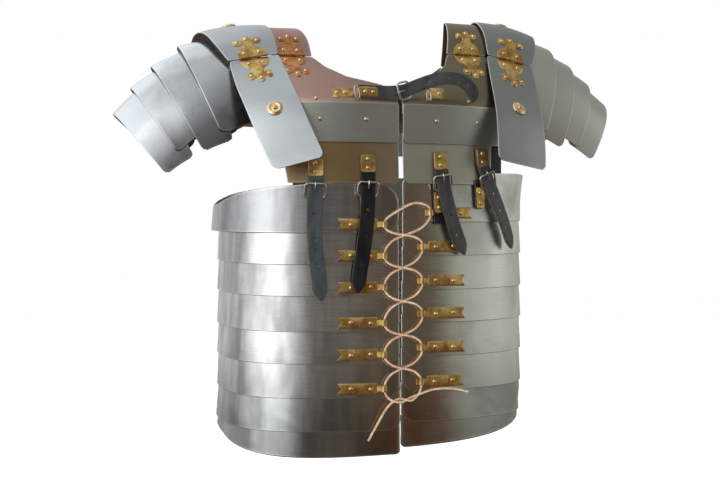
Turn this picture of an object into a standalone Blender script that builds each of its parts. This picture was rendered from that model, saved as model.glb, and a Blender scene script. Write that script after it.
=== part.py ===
"""Lorica segmentata: Roman laminated plate armour, worn-out hollow form with no wearer.

Metres, +Z up, front towards -Y. The origin is midway between the two collar tops, where the
wearer's shoulders carry the armour. "right" is the wearer's right, at -X.
Every plate is a patch of a form: a function of (u, v) that gives a point, thickened outwards.
"""
import math

import bmesh
import bpy
import numpy as np
from mathutils import Matrix, Vector

MM = 0.001
SIDES = {"right": -1, "left": 1}
# the two halves don't sit quite alike: how far a side's shoulder rises and stands out
SHOULDER_RISE = {"right": -8 * MM, "left": 8 * MM}
SHOULDER_OUT = {"right": -4.5 * MM, "left": 4.5 * MM}

# Driving sizes
PLATE = 1.2 * MM            # sheet steel
SEAM = 0.35 * MM            # air between two plates that lie on each other
STEP = PLATE + SEAM         # how far a plate stands outside the one beneath it
BRASS = 0.9 * MM            # sheet brass fittings
BITE = 0.8 * MM             # how deep a fitting sits in the plate that it is riveted to

# Torso form: a superellipse ring
HALF_WIDTH = 0.185
HALF_DEPTH = 0.125
SQUARENESS = 2.6

# Girdle hoops
HOOP_OVERLAP = 12 * MM      # a hoop's upper border under the hoop above it
TOP_HOOP_HEIGHT = 57 * MM
HOOP_FLARE = 2.4 * MM       # lower edge outside upper edge
HEM_FLARE = 0.6 * MM        # the same of the lowest hoop
HOOP_SEGMENTS = 20
# how far the front gap is open (half), mm, and the lower edge of each hoop at the front, mm
HOOP_ROWS = [
    {"half_gap": 2.4, "right": -243.0, "left": -229.5},
    {"half_gap": 2.2, "right": -278.5, "left": -268.0},
    {"half_gap": 1.8, "right": -314.0, "left": -307.0},
    {"half_gap": 1.4, "right": -354.0, "left": -344.5},
    {"half_gap": 1.1, "right": -390.0, "left": -383.0},
    {"half_gap": 0.9, "right": -428.5, "left": -422.0},
    {"half_gap": 0.2, "right": -466.0, "left": -457.0},
    {"half_gap": 0.2, "right": -499.0, "left": -485.0},
]
# every 20 degrees from the front gap to the back gap, mm: how far the top hoop's upper edge
# falls, and how far the lowest hoop's edge rises
TOP_FALLS = {
    "right": (0.0, 0.0, 4.0, 9.5, 19.5, 28.0, 20.0, 10.0, 7.0, 6.0),
    "left": (0.0, 0.0, 0.0, 0.5, 3.5, 8.0, 9.0, 9.0, 8.0, 6.0),
}
HEM_RISES = {
    "right": (5.5, 4.0, 4.5, 8.5, 14.5, 22.5, 20.0, 12.0, 8.0, 6.0),
    "left": (-1.0, 3.5, 9.5, 17.5, 23.5, 22.0, 16.0, 10.0, 6.0, 5.0),
}
TOP_FLARE = {"right": 0.0, "left": 8 * MM}  # how far the top hoop leans out under the arm
# how far the hoops under the top one are drawn in at the sides, mm, by height
WAIST = [
    {"z": -499.0, "right": 5.0, "left": 7.0},
    {"z": -485.0, "right": 7.0, "left": 7.0},
    {"z": -470.0, "right": 8.5, "left": 4.0},
    {"z": -445.0, "right": 9.5, "left": 3.5},
    {"z": -432.0, "right": 10.5, "left": 0.0},
    {"z": -235.0, "right": 10.5, "left": 0.0},
]
TOP_WAIST = {"right": 1.5, "left": 0.0}     # the same of the top hoop, mm
GIRDLE_TILT = {"right": 0.03, "left": 0.05}   # the front hangs lower than the back

# Ties: brass eye plates near the lower border of hoops 1 to 6, laced front and back
TIED_HOOPS = 6
# how far from the middle the plates' inner ends are, hoop by hoop, mm
TIE_INSET = {
    "right": (27.5, 27.5, 27.5, 27.5, 27.5, 27.5),
    "left": (43.0, 33.5, 33.5, 33.5, 33.0, 32.0),
}
TIE_LENGTH = 46 * MM
TIE_HEIGHT = 13 * MM
TIE_RISE = 10.5 * MM        # tie centre above the hoop's lower edge
EYE_RADIUS = 3.3 * MM
EYE_BORE = 2.3 * MM
EYE_HEIGHT = 7 * MM
EYE_REACH = {"right": 6.5 * MM, "left": 8.8 * MM}   # eye centre ahead of the plate's end

# how far aside of an eye's middle, and how far behind it, its tab meets it, in its radii
EYE_TAB_SIDE, EYE_TAB_BACK = 0.78, 0.42
TAB = 0.8 * MM              # thickness of the tab of an eye
TAB_FOOT = 2.5 * MM         # how far along its plate the tab starts

# Chest and back plates (mm, at the front centre), and where they end at the side
CHEST_GAP = 2.5 * MM        # half the gap between the right and the left plates
BAND_TOP, BAND_BOTTOM = -95.0, -140.0
LOW_TOP, LOW_BOTTOM = -128.0, -186.0
COLLAR_BOTTOM = -107.0
COLLAR_SIDE = {"front": 146.0, "back": 148.0}
BAND_SIDE = {"front": 146.0, "back": 92.0}
BAND_LIFT = STEP * 1.7      # the band's inner face over the torso form
LOW_LIFT, LOW_FLARE = 0.3 * MM, 2.9 * MM
LOW_SIDES = {
    ("front", "right"): (136.0, 126.0), ("front", "left"): (119.0, 115.0),
    ("back", "right"): (61.0, 58.0), ("back", "left"): (61.0, 58.0),
}
CHEST_LINE, HINGE_LINE = -95.0, -32.0
CHEST_CURVE = 1.35          # how early the chest bends back on its way up to the hinge line
SETTLE_SPAN = 107 * MM      # from the chest line to the shoulder's crown
HINGE_SHARE = (HINGE_LINE - CHEST_LINE) * MM / SETTLE_SPAN
HINGE_DEPTH = {"front": -54 * MM, "back": 64 * MM}
COLLAR_OUT = {"front": 135.0, "back": 162.0}
# the neckline, mm: distance from the middle, height at the front and at the back
NECKLINE = [
    {"x": 2.5, "front": -88.0, "back": -68.0},
    {"x": 16.0, "front": -71.0, "back": -67.5},
    {"x": 34.0, "front": -66.0, "back": -66.0},
    {"x": 54.0, "front": -60.5, "back": -63.0},
    {"x": 74.0, "front": -47.0, "back": -58.0},
    {"x": 84.0, "front": -33.0, "back": -55.0},
    {"x": 104.0, "front": -33.0, "back": -46.0},
    {"x": 121.0, "front": -33.0, "back": -33.0},
]

# Shoulder plates that lead from hinge to hinge, mm: inner edge, outer edge, bulge between them.
COLLAR_TOP_ROWS = [
    {"in": (84.0, -54.0, -32.0), "out": (135.0, -54.0, -32.5), "bulge": 0.0},
    {"in": (88.0, -41.0, -9.5), "out": (135.5, -41.0, -10.0), "bulge": 0.0},
    {"in": (92.5, -20.0, 5.6), "out": (136.5, -20.0, 5.1), "bulge": 0.0},
    {"in": (99.0, 5.0, 11.0), "out": (140.0, 5.0, 10.5), "bulge": 0.0},
    {"in": (108.5, 30.0, 5.6), "out": (146.0, 30.0, 5.1), "bulge": 0.0},
    {"in": (117.0, 51.0, -9.5), "out": (154.5, 51.0, -10.0), "bulge": 0.0},
    {"in": (122.0, 64.0, -32.0), "out": (162.0, 64.0, -32.5), "bulge": 0.0},
]
GUARD_TOP_ROWS = [
    {"in": (130.5, -60.0, -31.5), "out": (188.5, -60.0, -43.0), "bulge": 0.0},
    {"in": (132.0, -45.7, -7.5), "out": (200.0, -45.7, -22.5), "bulge": 1.6},
    {"in": (133.5, -22.7, 8.2), "out": (208.0, -22.7, -5.5), "bulge": 2.8},
    {"in": (137.0, 5.0, 13.6), "out": (212.5, 5.0, 0.0), "bulge": 3.2},
    {"in": (143.0, 32.7, 8.2), "out": (213.0, 32.7, -5.5), "bulge": 2.8},
    {"in": (151.0, 55.7, -7.5), "out": (211.0, 55.7, -22.5), "bulge": 1.6},
    {"in": (157.0, 70.0, -31.5), "out": (210.0, 70.0, -43.0), "bulge": 0.0},
]
GUARD_LEAF_ROWS = [
    {"in": (129.5, -60.0, -31.5), "out": (188.5, -60.0, -43.0), "bulge": 0.0},
    {"in": (127.5, -92.0, -63.0), "out": (186.0, -83.0, -76.0), "bulge": 1.2},
    {"in": (125.0, -120.0, -95.0), "out": (181.5, -106.0, -109.0), "bulge": 1.6},
    {"in": (121.0, -138.0, -127.0), "out": (177.0, -123.0, -140.0), "bulge": 1.6},
    {"in": (117.0, -150.0, -158.0), "out": (171.5, -135.0, -169.0), "bulge": 1.2},
]
# the front leaf: how far its foot swings inwards, how much broader it is on its inner side, and
# how much lower its outer corner hangs
LEAF_SHAPE = {
    "right": {"lean": 16.5 * MM, "broader": 0.0, "lower": 4.0 * MM},
    "left": {"lean": -1 * MM, "broader": 11.5 * MM, "lower": 0.0},
}
PLAIN_LEAF = {"lean": 0.0, "broader": 0.0, "lower": 0.0}
BACK_LEAF_ROWS = [
    {"in": (157.0, 70.0, -31.5), "out": (210.0, 70.0, -43.0), "bulge": 0.0},
    {"in": (155.0, 86.0, -52.0), "out": (207.0, 81.0, -63.5), "bulge": 1.2},
    {"in": (151.0, 101.0, -74.0), "out": (203.0, 93.0, -85.5), "bulge": 1.6},
    {"in": (146.0, 113.0, -97.0), "out": (197.0, 103.0, -108.0), "bulge": 1.2},
]
HINGE_AIR = 0.6 * MM        # a plate's edge to its hinge line

# Lesser shoulder plates, outermost last. The crown line is an arc in the XZ plane.
CROWN_ARC = {
    "right": {"x": 0.0943, "z": -0.2253, "radius": 0.240},
    "left": {"x": 0.0519, "z": -0.2978, "radius": 0.340},
}
ARM_MIDDLE = 5 * MM         # where the arm's middle lies along Y
ARM_HALF_DEPTH = 0.078
ARM_SWEEP = 0.15            # how far the arches' front stands out, as a share of its depth
ARCH_DROP = 0.138
LAME_FLARE = 3.4 * MM
LAME_TUCK = 7 * MM          # how far a plate's inner border lies under its own outer edge
BACK_LEAN = {"right": 14.0, "left": 0.0}    # how much further the arches lean in behind, degrees
LAME_SEGMENTS = 16
# how much broader the first plate is where its arch turns down, in front and behind
LAME_SPREAD = {"front": 0.6, "back": -0.4}
LAME_NAMES = ("a", "b", "c", "d")
# degrees, plate by plate: the outer edge on the crown arc, the breadth there, how far the arch
# leans in, and where it ends; and how much further its inner border reaches in front
LAME_ROWS = {
    "right": [
        {"edge": 34.5, "span": 8.5, "lean": 24.0, "end": 80, "skew": 0.03},
        {"edge": 43.8, "span": 12.0, "lean": 29.5, "end": 80, "skew": 0.06},
        {"edge": 52.0, "span": 12.5, "lean": 33.5, "end": 70, "skew": 0.03},
        {"edge": 60.5, "span": 13.0, "lean": 39.0, "end": 70, "skew": 0.1},
    ],
    "left": [
        {"edge": 32.4, "span": 7.5, "lean": 20.0, "end": 82, "skew": 0.03},
        {"edge": 38.0, "span": 8.6, "lean": 23.5, "end": 82, "skew": 0.03},
        {"edge": 43.4, "span": 9.4, "lean": 28.5, "end": 74, "skew": 0.03},
        {"edge": 49.4, "span": 9.6, "lean": 35.0, "end": 71, "skew": 0.06},
    ],
}

# Lobed hinges
HINGE_WIDTH = 33 * MM
HINGE_LEAF = {"collar_high": 35 * MM, "collar_low": 42 * MM, "guard_high": 31 * MM,
              "guard_low": 37.5 * MM}
BARREL_RADIUS = 1.6 * MM
BARREL_BORE = 1.0 * MM
PIN_RADIUS = 0.7 * MM
AXIS_RISE = PLATE + BARREL_RADIUS + 0.4 * MM
LEAF_CLEAR = 2.4 * MM       # hinge line to the edge of a hinge leaf
HINGE_SLOPE = 55            # degrees from upright that the plates' outward side leans at a hinge
COLLAR_FALL = 0.7           # how much of a hinge leaf's length falls, on a collar plate
BARREL_AIR = 0.5 * MM       # between two barrels
HINGE_TAB = 0.45 * MM       # thickness of the tab from a hinge leaf to its barrel

# Straps: leather ribbons. Rows are x, stand-off from the torso form, z, in mm.
LEATHER = 1.8 * MM
STRAP_WIDTH = 17 * MM
STRAPS = {
    "strap_1": {"side": "right", "face": "front", "rows": [
        (97, 3.6, -158), (97, 4.3, -172), (97, 6.2, -182), (97.5, 7.4, -196),
        (98, 7.0, -212), (98.5, 6.6, -238), (97, 6.8, -262), (94, 7.2, -290),
        (90.5, 7.6, -319)]},
    "strap_2": {"side": "right", "face": "front", "rows": [
        (39.5, 3.5, -153), (39.5, 4.3, -170), (39.5, 6.2, -181), (40, 7.4, -194),
        (40, 7.0, -210), (42, 6.6, -237), (45, 6.6, -262), (49, 7.0, -286),
        (51.5, 7.4, -311)]},
    "strap_3": {"side": "left", "face": "front", "rows": [
        (47, 3.4, -149), (47.5, 4.2, -163), (48, 6.2, -172), (49.5, 7.4, -184),
        (52, 8.4, -198), (58, 9.0, -221), (65, 9.5, -243), (75, 10.5, -268)]},
    "strap_4": {"side": "left", "face": "front", "rows": [
        (101.5, 3.4, -144), (102, 4.2, -159), (104, 6.2, -168), (107.5, 7.4, -180),
        (114.5, 9.0, -196), (123.5, 10.0, -217), (132, 10.5, -238), (140, 11.0, -261)]},
    "back_strap_right": {"side": "right", "face": "back", "rows": [
        (46, 3.5, -152), (46, 4.3, -172), (46, 6.2, -182), (46, 7.4, -194),
        (46, 7.0, -210), (46, 6.8, -240), (46, 7.0, -270), (46, 7.4, -296)]},
    "back_strap_left": {"side": "left", "face": "back", "rows": [
        (46, 3.5, -152), (46, 4.3, -172), (46, 6.2, -182), (46, 7.4, -194),
        (46, 7.0, -210), (46, 6.8, -240), (46, 7.0, -270), (46, 7.4, -296)]},
}
BUCKLE_ROW = 3              # the strap's row that its buckle sits on
BUCKLE_SIZE = (23 * MM, 15 * MM)
WIRE = 1.2 * MM             # radius of the buckle frame
BUCKLE_AIR = 1.2 * MM

# Neck fastening: the ribbon's middle, mm (x, y, z), and its roll about its own run, degrees
NECK_STRAP_ROWS = [
    {"at": (-50, -124.3, -82.5), "roll": 0},
    {"at": (-40, -125.0, -82.5), "roll": 0},
    {"at": (-26, -125.6, -82.8), "roll": 0},
    {"at": (-10, -126.0, -82.5), "roll": 0},
    {"at": (4, -127.5, -80.5), "roll": 0},
    {"at": (18, -130.5, -75.0), "roll": -6},
    {"at": (34, -135.5, -69.0), "roll": -12},
    {"at": (50, -138.0, -65.8), "roll": -14},
    {"at": (66, -137.0, -66.5), "roll": -8},
    {"at": (80, -133.0, -72.5), "roll": 4},
    {"at": (88, -128.5, -82.0), "roll": 12},
    {"at": (86.5, -127.0, -93.0), "roll": 8},
]
NECK_STRAP_WIDTH = 15 * MM
NECK_BUCKLE_AT = 4
NECK_BUCKLE_SIZE = (20 * MM, 14 * MM)
NECK_PLATE = {"right": (54.0, 77.0), "left": (36.0, 58.0)}   # inner and outer end, mm
NECK_PLATE_TOP, NECK_PLATE_HEIGHT = -77.5, 12.0              # mm

# Laces
LACE_RADIUS = 1.25 * MM
CROSS_LIFT = 2.0 * MM       # half the space between two strands that cross
LACE_STRETCH = 9 * MM       # the distance between two points of the lace, about
LACE_BULGE = (0.13, 0.11)   # how far the lace rounds outwards and up or down beside an eye
# the lace over the top of the gap, left to right, and its two free ends: x, stand-off, z in mm
LACE_ARC = {
    "front": [(29, 8, -210), (14, 9.5, -207.5), (-4, 9.5, -216)],
    "back": [(26, 9, -197.5), (8, 9.5, -199), (-10, 9, -211)],
}
LACE_ENDS = {
    "front": {
        "from_right": [(-15, 8, -431), (-3, 10.5, -434), (9, 7, -429), (21, 7.5, -425),
                       (33, 8, -421), (48, 8, -419.5), (66, 7, -421), (82, 6.5, -425)],
        "from_left": [(21, 8, -423), (9, 10.5, -433), (-3, 7, -428.5), (-14, 9, -434),
                      (-20, 9, -441), (-27, 8.5, -453), (-40, 8, -476)],
    },
    "back": {
        "from_right": [(-15, 8, -424), (-3, 10.5, -427), (9, 7, -423), (18, 8, -430),
                       (22, 8, -446), (24, 8, -466)],
        "from_left": [(21, 8, -418), (9, 10.5, -426), (-3, 7, -422), (-12, 8, -432),
                      (-17, 8, -448), (-19, 8, -470)],
    },
}

STEEL = ("steel", (0.62, 0.64, 0.66), 0.28, 1.0)
BRASS_FINISH = ("brass", (0.62, 0.43, 0.13), 0.38, 1.0)
HIDE = ("black_leather", (0.03, 0.032, 0.036), 0.5, 0.0)
NICKEL = ("nickel", (0.75, 0.74, 0.71), 0.2, 1.0)
THONG = ("lace_leather", (0.62, 0.40, 0.27), 0.6, 0.0)


# ---------------------------------------------------------------- objects and materials
def material(finish):
    """The finish's material, made once."""
    name, colour, roughness, metallic = finish
    made = bpy.data.materials.get(name)
    if made:
        return made
    made = bpy.data.materials.new(name)
    made.use_nodes = True
    shader = made.node_tree.nodes["Principled BSDF"]
    shader.inputs["Base Color"].default_value = (*colour, 1)
    shader.inputs["Roughness"].default_value = roughness
    shader.inputs["Metallic"].default_value = metallic
    return made


def add_object(name, mesh_maker, finish):
    """A mesh object from a bmesh, its faces pointing out."""
    bmesh.ops.recalc_face_normals(mesh_maker, faces=mesh_maker.faces)
    mesh = bpy.data.meshes.new(name)
    mesh_maker.to_mesh(mesh)
    mesh_maker.free()
    mesh.shade_smooth()
    mesh.set_sharp_from_angle(angle=math.radians(35))
    mesh.materials.append(material(finish))
    made = bpy.data.objects.new(name, mesh)
    bpy.context.scene.collection.objects.link(made)
    return made


def unite(base, helpers):
    """Joins the helpers to the base as one body, and leaves them out of the model."""
    for helper in helpers:
        helper.hide_render = True
        helper.display_type = "WIRE"
        join = base.modifiers.new(helper.name, "BOOLEAN")
        join.operation = "UNION"
        join.solver = "EXACT"
        join.object = helper


# ---------------------------------------------------------------- curves and forms
def smooth_row(rows, t):
    """The point at t, 0 to 1, on a smooth curve through the rows (each an array)."""
    place = min(max(t, 0.0), 1.0) * (len(rows) - 1)
    i = min(int(place), len(rows) - 2)
    f = place - i
    before = rows[i - 1] if i else 2 * rows[0] - rows[1]
    after = rows[i + 2] if i + 2 < len(rows) else 2 * rows[-1] - rows[-2]
    a, b = rows[i], rows[i + 1]
    return 0.5 * (2 * a + (b - before) * f + (2 * before - 5 * a + 4 * b - after) * f * f
                  + (3 * a - before - 3 * b + after) * f ** 3)


def torso_depth(x):
    """Half the torso form's depth at this distance from the middle."""
    share = min(abs(x) / HALF_WIDTH, 1.0)
    return HALF_DEPTH * (1 - share ** SQUARENESS) ** (1 / SQUARENESS)


def ring_point(turn, z):
    """A point of the torso ring. turn is 0 at the front, 90 at the side and 180 at the back."""
    angle = math.radians(turn)
    power = 2 / SQUARENESS
    x = HALF_WIDTH * abs(math.sin(angle)) ** power
    y = -HALF_DEPTH * math.copysign(abs(math.cos(angle)) ** power, math.cos(angle))
    return Vector((x, y, z))


def ring_turn(x):
    """The turn, in degrees, at which the ring is this far from the middle, on the front."""
    return math.degrees(math.asin(min(x / HALF_WIDTH, 1.0) ** (SQUARENESS / 2)))


def chest_point(x, z, face, side):
    """A point of the chest (face "front") or of the back, up to the hinge line, at +X."""
    hinge = HINGE_DEPTH[face]
    sign = -1 if face == "front" else 1
    rise = (HINGE_LINE * MM - z) / ((HINGE_LINE - CHEST_LINE) * MM)
    rise = min(max(rise, 0.0), 1.0)
    share = 1 - (1 - rise) ** CHEST_CURVE
    point = Vector((x, hinge + (sign * torso_depth(x) - hinge) * share, z))
    point.z += SHOULDER_RISE[side] * (1 - rise) * HINGE_SHARE
    return point


def neckline(x, face):
    """The neckline's height at this distance from the middle."""
    columns = [row["x"] for row in NECKLINE]
    return float(np.interp(x / MM, columns, [row[face] for row in NECKLINE])) * MM


def shoulder_point(crown_angle, arch_angle, side):
    """A point of the shoulder form, at +X."""
    rows, arc = LAME_ROWS[side], CROWN_ARC[side]
    lean = math.radians(np.interp(crown_angle, [row["edge"] for row in rows],
                                  [row["lean"] for row in rows])
                        + (BACK_LEAN[side] if arch_angle < 0 else 0.0))
    crown, arch = math.radians(crown_angle), math.radians(arch_angle)
    drop = ARCH_DROP * (1 - math.cos(arch))
    ahead = ARM_HALF_DEPTH * math.sin(arch)
    return Vector((
        arc["x"] + arc["radius"] * math.sin(crown) - drop * math.sin(lean) + ARM_SWEEP * ahead,
        ARM_MIDDLE - ahead,
        arc["z"] + arc["radius"] * math.cos(crown) - drop * math.cos(lean),
    ))


def plate_of_rows(rows, side, shape=PLAIN_LEAF, pinned=False):
    """A form f(u, v): v runs along the rows, u from the inner to the outer edge.

    A pinned plate stands where its rows say at the hinge lines and moves out between them.
    """
    inner = [np.array(row["in"]) * MM for row in rows]
    outer = [np.array(row["out"]) * MM for row in rows]
    bulge = [np.array([row["bulge"]]) * MM for row in rows]
    middle = np.array([0.16, 0.015, -0.12])

    def form(u, v):
        a, b = smooth_row(inner, v), smooth_row(outer, v)
        point = a + (b - a) * u
        outward = point - middle
        outward[0] = 0.0
        outward /= np.linalg.norm(outward)
        point = point + outward * smooth_row(bulge, v)[0] * 4 * u * (1 - u)
        share = min(max((point[2] - CHEST_LINE * MM) / SETTLE_SPAN, 0.0), 1.0)
        out = max(share - HINGE_SHARE, 0.0) / (1 - HINGE_SHARE) if pinned else 1.0
        point[0] += out * SHOULDER_OUT[side] - shape["lean"] * v * v
        point[0] -= shape["broader"] * (1 - u) * (1 - (1 - v) ** 3)
        point[2] += SHOULDER_RISE[side] * share - shape["lower"] * u * v ** 4
        return Vector(point)

    return form


# ---------------------------------------------------------------- builders
def outward_normal(form, u, v, core):
    """The form's unit normal at (u, v), pointing away from the core."""
    step = 1e-3
    u0, u1 = (u - step, u) if u > 0.5 else (u, u + step)
    v0, v1 = (v - step, v) if v > 0.5 else (v, v + step)
    normal = (form(u1, v) - form(u0, v)).cross(form(u, v1) - form(u, v0)).normalized()
    here = form(u, v)
    away = here - Vector((core[0], core[1], min(here.z, core[2])))
    return normal if normal.dot(away) > 0 else -normal


def shell(name, form, finish, grid, layers, core, side=1, flare=0.0):
    """A closed wall on the form: grid is (columns, rows), layers the inner and outer lift.

    flare adds to the lift from v = 0, where it is 0, to v = 1.
    """
    columns, rows = grid
    maker = bmesh.new()
    sheets = []
    for lift in layers:
        sheet = []
        for j in range(rows + 1):
            line = []
            for i in range(columns + 1):
                u, v = i / columns, j / rows
                point = form(u, v) + outward_normal(form, u, v, core) * (lift + flare * v)
                line.append(maker.verts.new((side * point.x, point.y, point.z)))
            sheet.append(line)
        sheets.append(sheet)
    low, high = sheets
    for j in range(rows):
        for i in range(columns):
            for sheet in sheets:
                maker.faces.new((sheet[j][i], sheet[j][i + 1], sheet[j + 1][i + 1], sheet[j + 1][i]))
    for i in range(columns):
        for j in (0, rows):
            maker.faces.new((low[j][i], low[j][i + 1], high[j][i + 1], high[j][i]))
    for j in range(rows):
        for i in (0, columns):
            maker.faces.new((low[j][i], low[j + 1][i], high[j + 1][i], high[j][i]))
    return add_object(name, maker, finish)


def patch(form, u_range, v_range):
    """The part of a form between these values, as a form of its own."""
    def part(u, v):
        return form(u_range[0] + (u_range[1] - u_range[0]) * u,
                    v_range[0] + (v_range[1] - v_range[0]) * v)
    return part


def barrel(name, start, end, radius, finish, bore=None, sides=8):
    """A round bar, or with a bore a tube, from start to end."""
    along = (end - start).normalized()
    turn = along.to_track_quat("Z", "X").to_matrix()
    maker = bmesh.new()
    rings = []
    for base in (start, end):
        for size in (radius, bore) if bore else (radius,):
            ring = []
            for i in range(sides):
                angle = 2 * math.pi * i / sides
                spoke = turn @ Vector((math.cos(angle), math.sin(angle), 0))
                ring.append(maker.verts.new(base + spoke * size))
            rings.append(ring)
    for i in range(sides):
        k = (i + 1) % sides
        if bore:
            near, near_in, far, far_in = rings
            maker.faces.new((near[i], near[k], far[k], far[i]))
            maker.faces.new((near_in[i], near_in[k], far_in[k], far_in[i]))
            maker.faces.new((near[i], near[k], near_in[k], near_in[i]))
            maker.faces.new((far[i], far[k], far_in[k], far_in[i]))
        else:
            maker.faces.new((rings[0][i], rings[0][k], rings[1][k], rings[1][i]))
    if not bore:
        maker.faces.new(rings[0])
        maker.faces.new(rings[1])
    return add_object(name, maker, finish)


def ribbon(name, stations, width, thickness, finish, tip=0.0):
    """A flat strap: stations are (point, across, outward). tip is how far its end is pointed."""
    maker = bmesh.new()
    rings = []
    for i, (point, across, outward) in enumerate(stations):
        share = 0.35 if tip and i == len(stations) - 1 else 1.0
        half = across * width / 2 * share
        lift = outward * thickness
        corners = (point - half, point + half, point + half + lift, point - half + lift)
        rings.append([maker.verts.new(corner) for corner in corners])
    for near, far in zip(rings, rings[1:]):
        for i in range(4):
            k = (i + 1) % 4
            maker.faces.new((near[i], near[k], far[k], far[i]))
    maker.faces.new(rings[0])
    maker.faces.new(rings[-1])
    return add_object(name, maker, finish)


def cord(name, points, radius, finish):
    """A round cord through points read from its smooth route."""
    curve = bpy.data.curves.new(name, "CURVE")
    curve.dimensions = "3D"
    curve.bevel_depth = radius
    curve.bevel_resolution = 1
    curve.use_fill_caps = True
    line = curve.splines.new("POLY")
    line.points.add(len(points) - 1)
    for spot, point in zip(line.points, points):
        spot.co = (*point, 1)
    curve.materials.append(material(finish))
    made = bpy.data.objects.new(name, curve)
    bpy.context.scene.collection.objects.link(made)
    return made


# ---------------------------------------------------------------- girdle
TORSO_CORE = (0.0, 0.0, 0.0)
SHOULDER_CORE = (0.0, 0.015, -0.12)


def hoop_levels(index, side):
    """The hoop's lower and upper edge at the front."""
    low = HOOP_ROWS[index][side] * MM
    if index == 0:
        return low, low + TOP_HOOP_HEIGHT
    return low, HOOP_ROWS[index - 1][side] * MM + HOOP_OVERLAP


def hoop_form(index, side):
    """The hoop's form: u from the front gap round to the back gap, v from its top down."""
    low, high = hoop_levels(index, side)
    start = ring_turn(HOOP_ROWS[index]["half_gap"] * MM)
    tilt = GIRDLE_TILT[side]

    levels = [row["z"] for row in WAIST]
    waists = [row[side] for row in WAIST]

    def form(u, v):
        turn = start + (180 - 2 * start) * u
        flank = math.sin(math.radians(turn))
        top, hem = high, low
        if index == 0:
            top -= smooth_row(TOP_FALLS[side], turn / 180) * MM
        if index == len(HOOP_ROWS) - 1:
            hem += smooth_row(HEM_RISES[side], turn / 180) * MM
        point = ring_point(turn, top + (hem - top) * v)
        waist = np.interp(point.z / MM, levels, waists) if index else TOP_WAIST[side]
        point.x -= waist * MM * flank ** 6
        if index == 0:
            point.x += TOP_FLARE[side] * (1 - v) ** 2 * flank ** 4
        point.z += tilt * (point.y + HALF_DEPTH)
        return point

    return form


def surface_at(side, x, z, face):
    """The torso form at x and z with its outward normal, on the front or the back."""
    sign = -1 if face == "front" else 1
    turn = ring_turn(abs(x))
    point = ring_point(turn if face == "front" else 180 - turn, z)
    normal = Vector(((abs(point.x) / HALF_WIDTH) ** (SQUARENESS - 1) / HALF_WIDTH,
                     sign * (abs(point.y) / HALF_DEPTH) ** (SQUARENESS - 1) / HALF_DEPTH, 0))
    normal.normalize()
    return (Vector((SIDES[side] * point.x, point.y, z)),
            Vector((SIDES[side] * normal.x, normal.y, 0)))


def eye_place(index, side, face):
    """The middle of a tie's eye and the outward direction there."""
    x = TIE_INSET[side][index] * MM - EYE_REACH[side]
    z = HOOP_ROWS[index][side] * MM + TIE_RISE
    if face == "back":
        z += 2 * GIRDLE_TILT[side] * HALF_DEPTH
    point, normal = surface_at(side, x, z, face)
    lift = PLATE + HOOP_FLARE + EYE_RADIUS + 0.3 * MM
    return point + normal * lift, normal


def make_tie(index, side, face):
    """One eye plate: the plate on the hoop, the eye ahead of it and the tab between them."""
    low, high = hoop_levels(index, side)
    form = hoop_form(index, side)
    start = ring_turn(HOOP_ROWS[index]["half_gap"] * MM)
    span = 180 - 2 * start

    def share(x):
        place = (ring_turn(x) - start) / span
        return place if face == "front" else 1 - place

    inner = TIE_INSET[side][index] * MM
    middle = 1 - TIE_RISE / (high - low)
    half = TIE_HEIGHT / 2 / (high - low)
    ends = sorted((share(inner), share(inner + TIE_LENGTH)))
    name = f"tie_{face}_{side}_{index + 1}"
    plate = shell(
        name, patch(form, ends, (middle - half, middle + half)), BRASS_FINISH, (3, 1),
        (PLATE - BITE + HOOP_FLARE * middle, PLATE + BRASS + HOOP_FLARE * middle),
        TORSO_CORE, SIDES[side])
    eye, normal = eye_place(index, side, face)
    up = Vector((0, 0, EYE_HEIGHT / 2))
    ring = barrel(name + "_eye", eye - up, eye + up, EYE_RADIUS, BRASS_FINISH, EYE_BORE, sides=8)
    point, _ = surface_at(side, inner + TAB_FOOT, eye.z, face)
    foot = point + normal * (PLATE + HOOP_FLARE * middle + BRASS / 2)
    toward = Vector((-SIDES[side], 0, 0))
    head = eye - (toward * EYE_TAB_SIDE + normal * EYE_TAB_BACK) * EYE_RADIUS
    tab = bar(name + "_tab", foot, head, (0, 0, 1), EYE_HEIGHT * 0.8, TAB, BRASS_FINISH)
    return [plate, tab, ring]


def bar(name, start, end, across, width, thickness, finish):
    """A flat bar from start to end."""
    along = (end - start).normalized()
    across = Vector(across)
    across = (across - along * across.dot(along)).normalized()
    lift = along.cross(across)
    maker = bmesh.new()
    bmesh.ops.create_cube(maker, size=1.0)
    frame = Matrix((along * (end - start).length, across * width, lift * thickness)).transposed()
    for vert in maker.verts:
        vert.co = frame @ vert.co + (start + end) / 2
    return add_object(name, maker, finish)


def make_hoops():
    for side, sign in SIDES.items():
        for index in range(len(HOOP_ROWS)):
            hoop = shell(
                f"hoop_{side}_{index + 1}", hoop_form(index, side), STEEL,
                (HOOP_SEGMENTS, 1), (0.0, PLATE), TORSO_CORE, sign,
                flare=HOOP_FLARE if index < len(HOOP_ROWS) - 1 else HEM_FLARE)
            if index < TIED_HOOPS:
                for face in ("front", "back"):
                    unite(hoop, make_tie(index, side, face))


# ---------------------------------------------------------------- chest and back
def band_form(top, bottom, out_top, out_bottom, face, side, top_line=None):
    """A plate of the chest or back: u from the middle outwards, v from its top down."""
    inner = CHEST_GAP

    def form(u, v):
        outer = (out_top + (out_bottom - out_top) * v) * MM
        x = inner + (outer - inner) * u
        high = top_line(x) if top_line else top * MM
        return chest_point(x, high + (bottom * MM - high) * v, face, side)

    return form


def collar_height(face):
    """The collar plate's upper edge: the neckline, then the hinge line out to the edge."""
    def height(x):
        return min(neckline(x, face), HINGE_LINE * MM - HINGE_AIR * 1.5)
    return height


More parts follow.
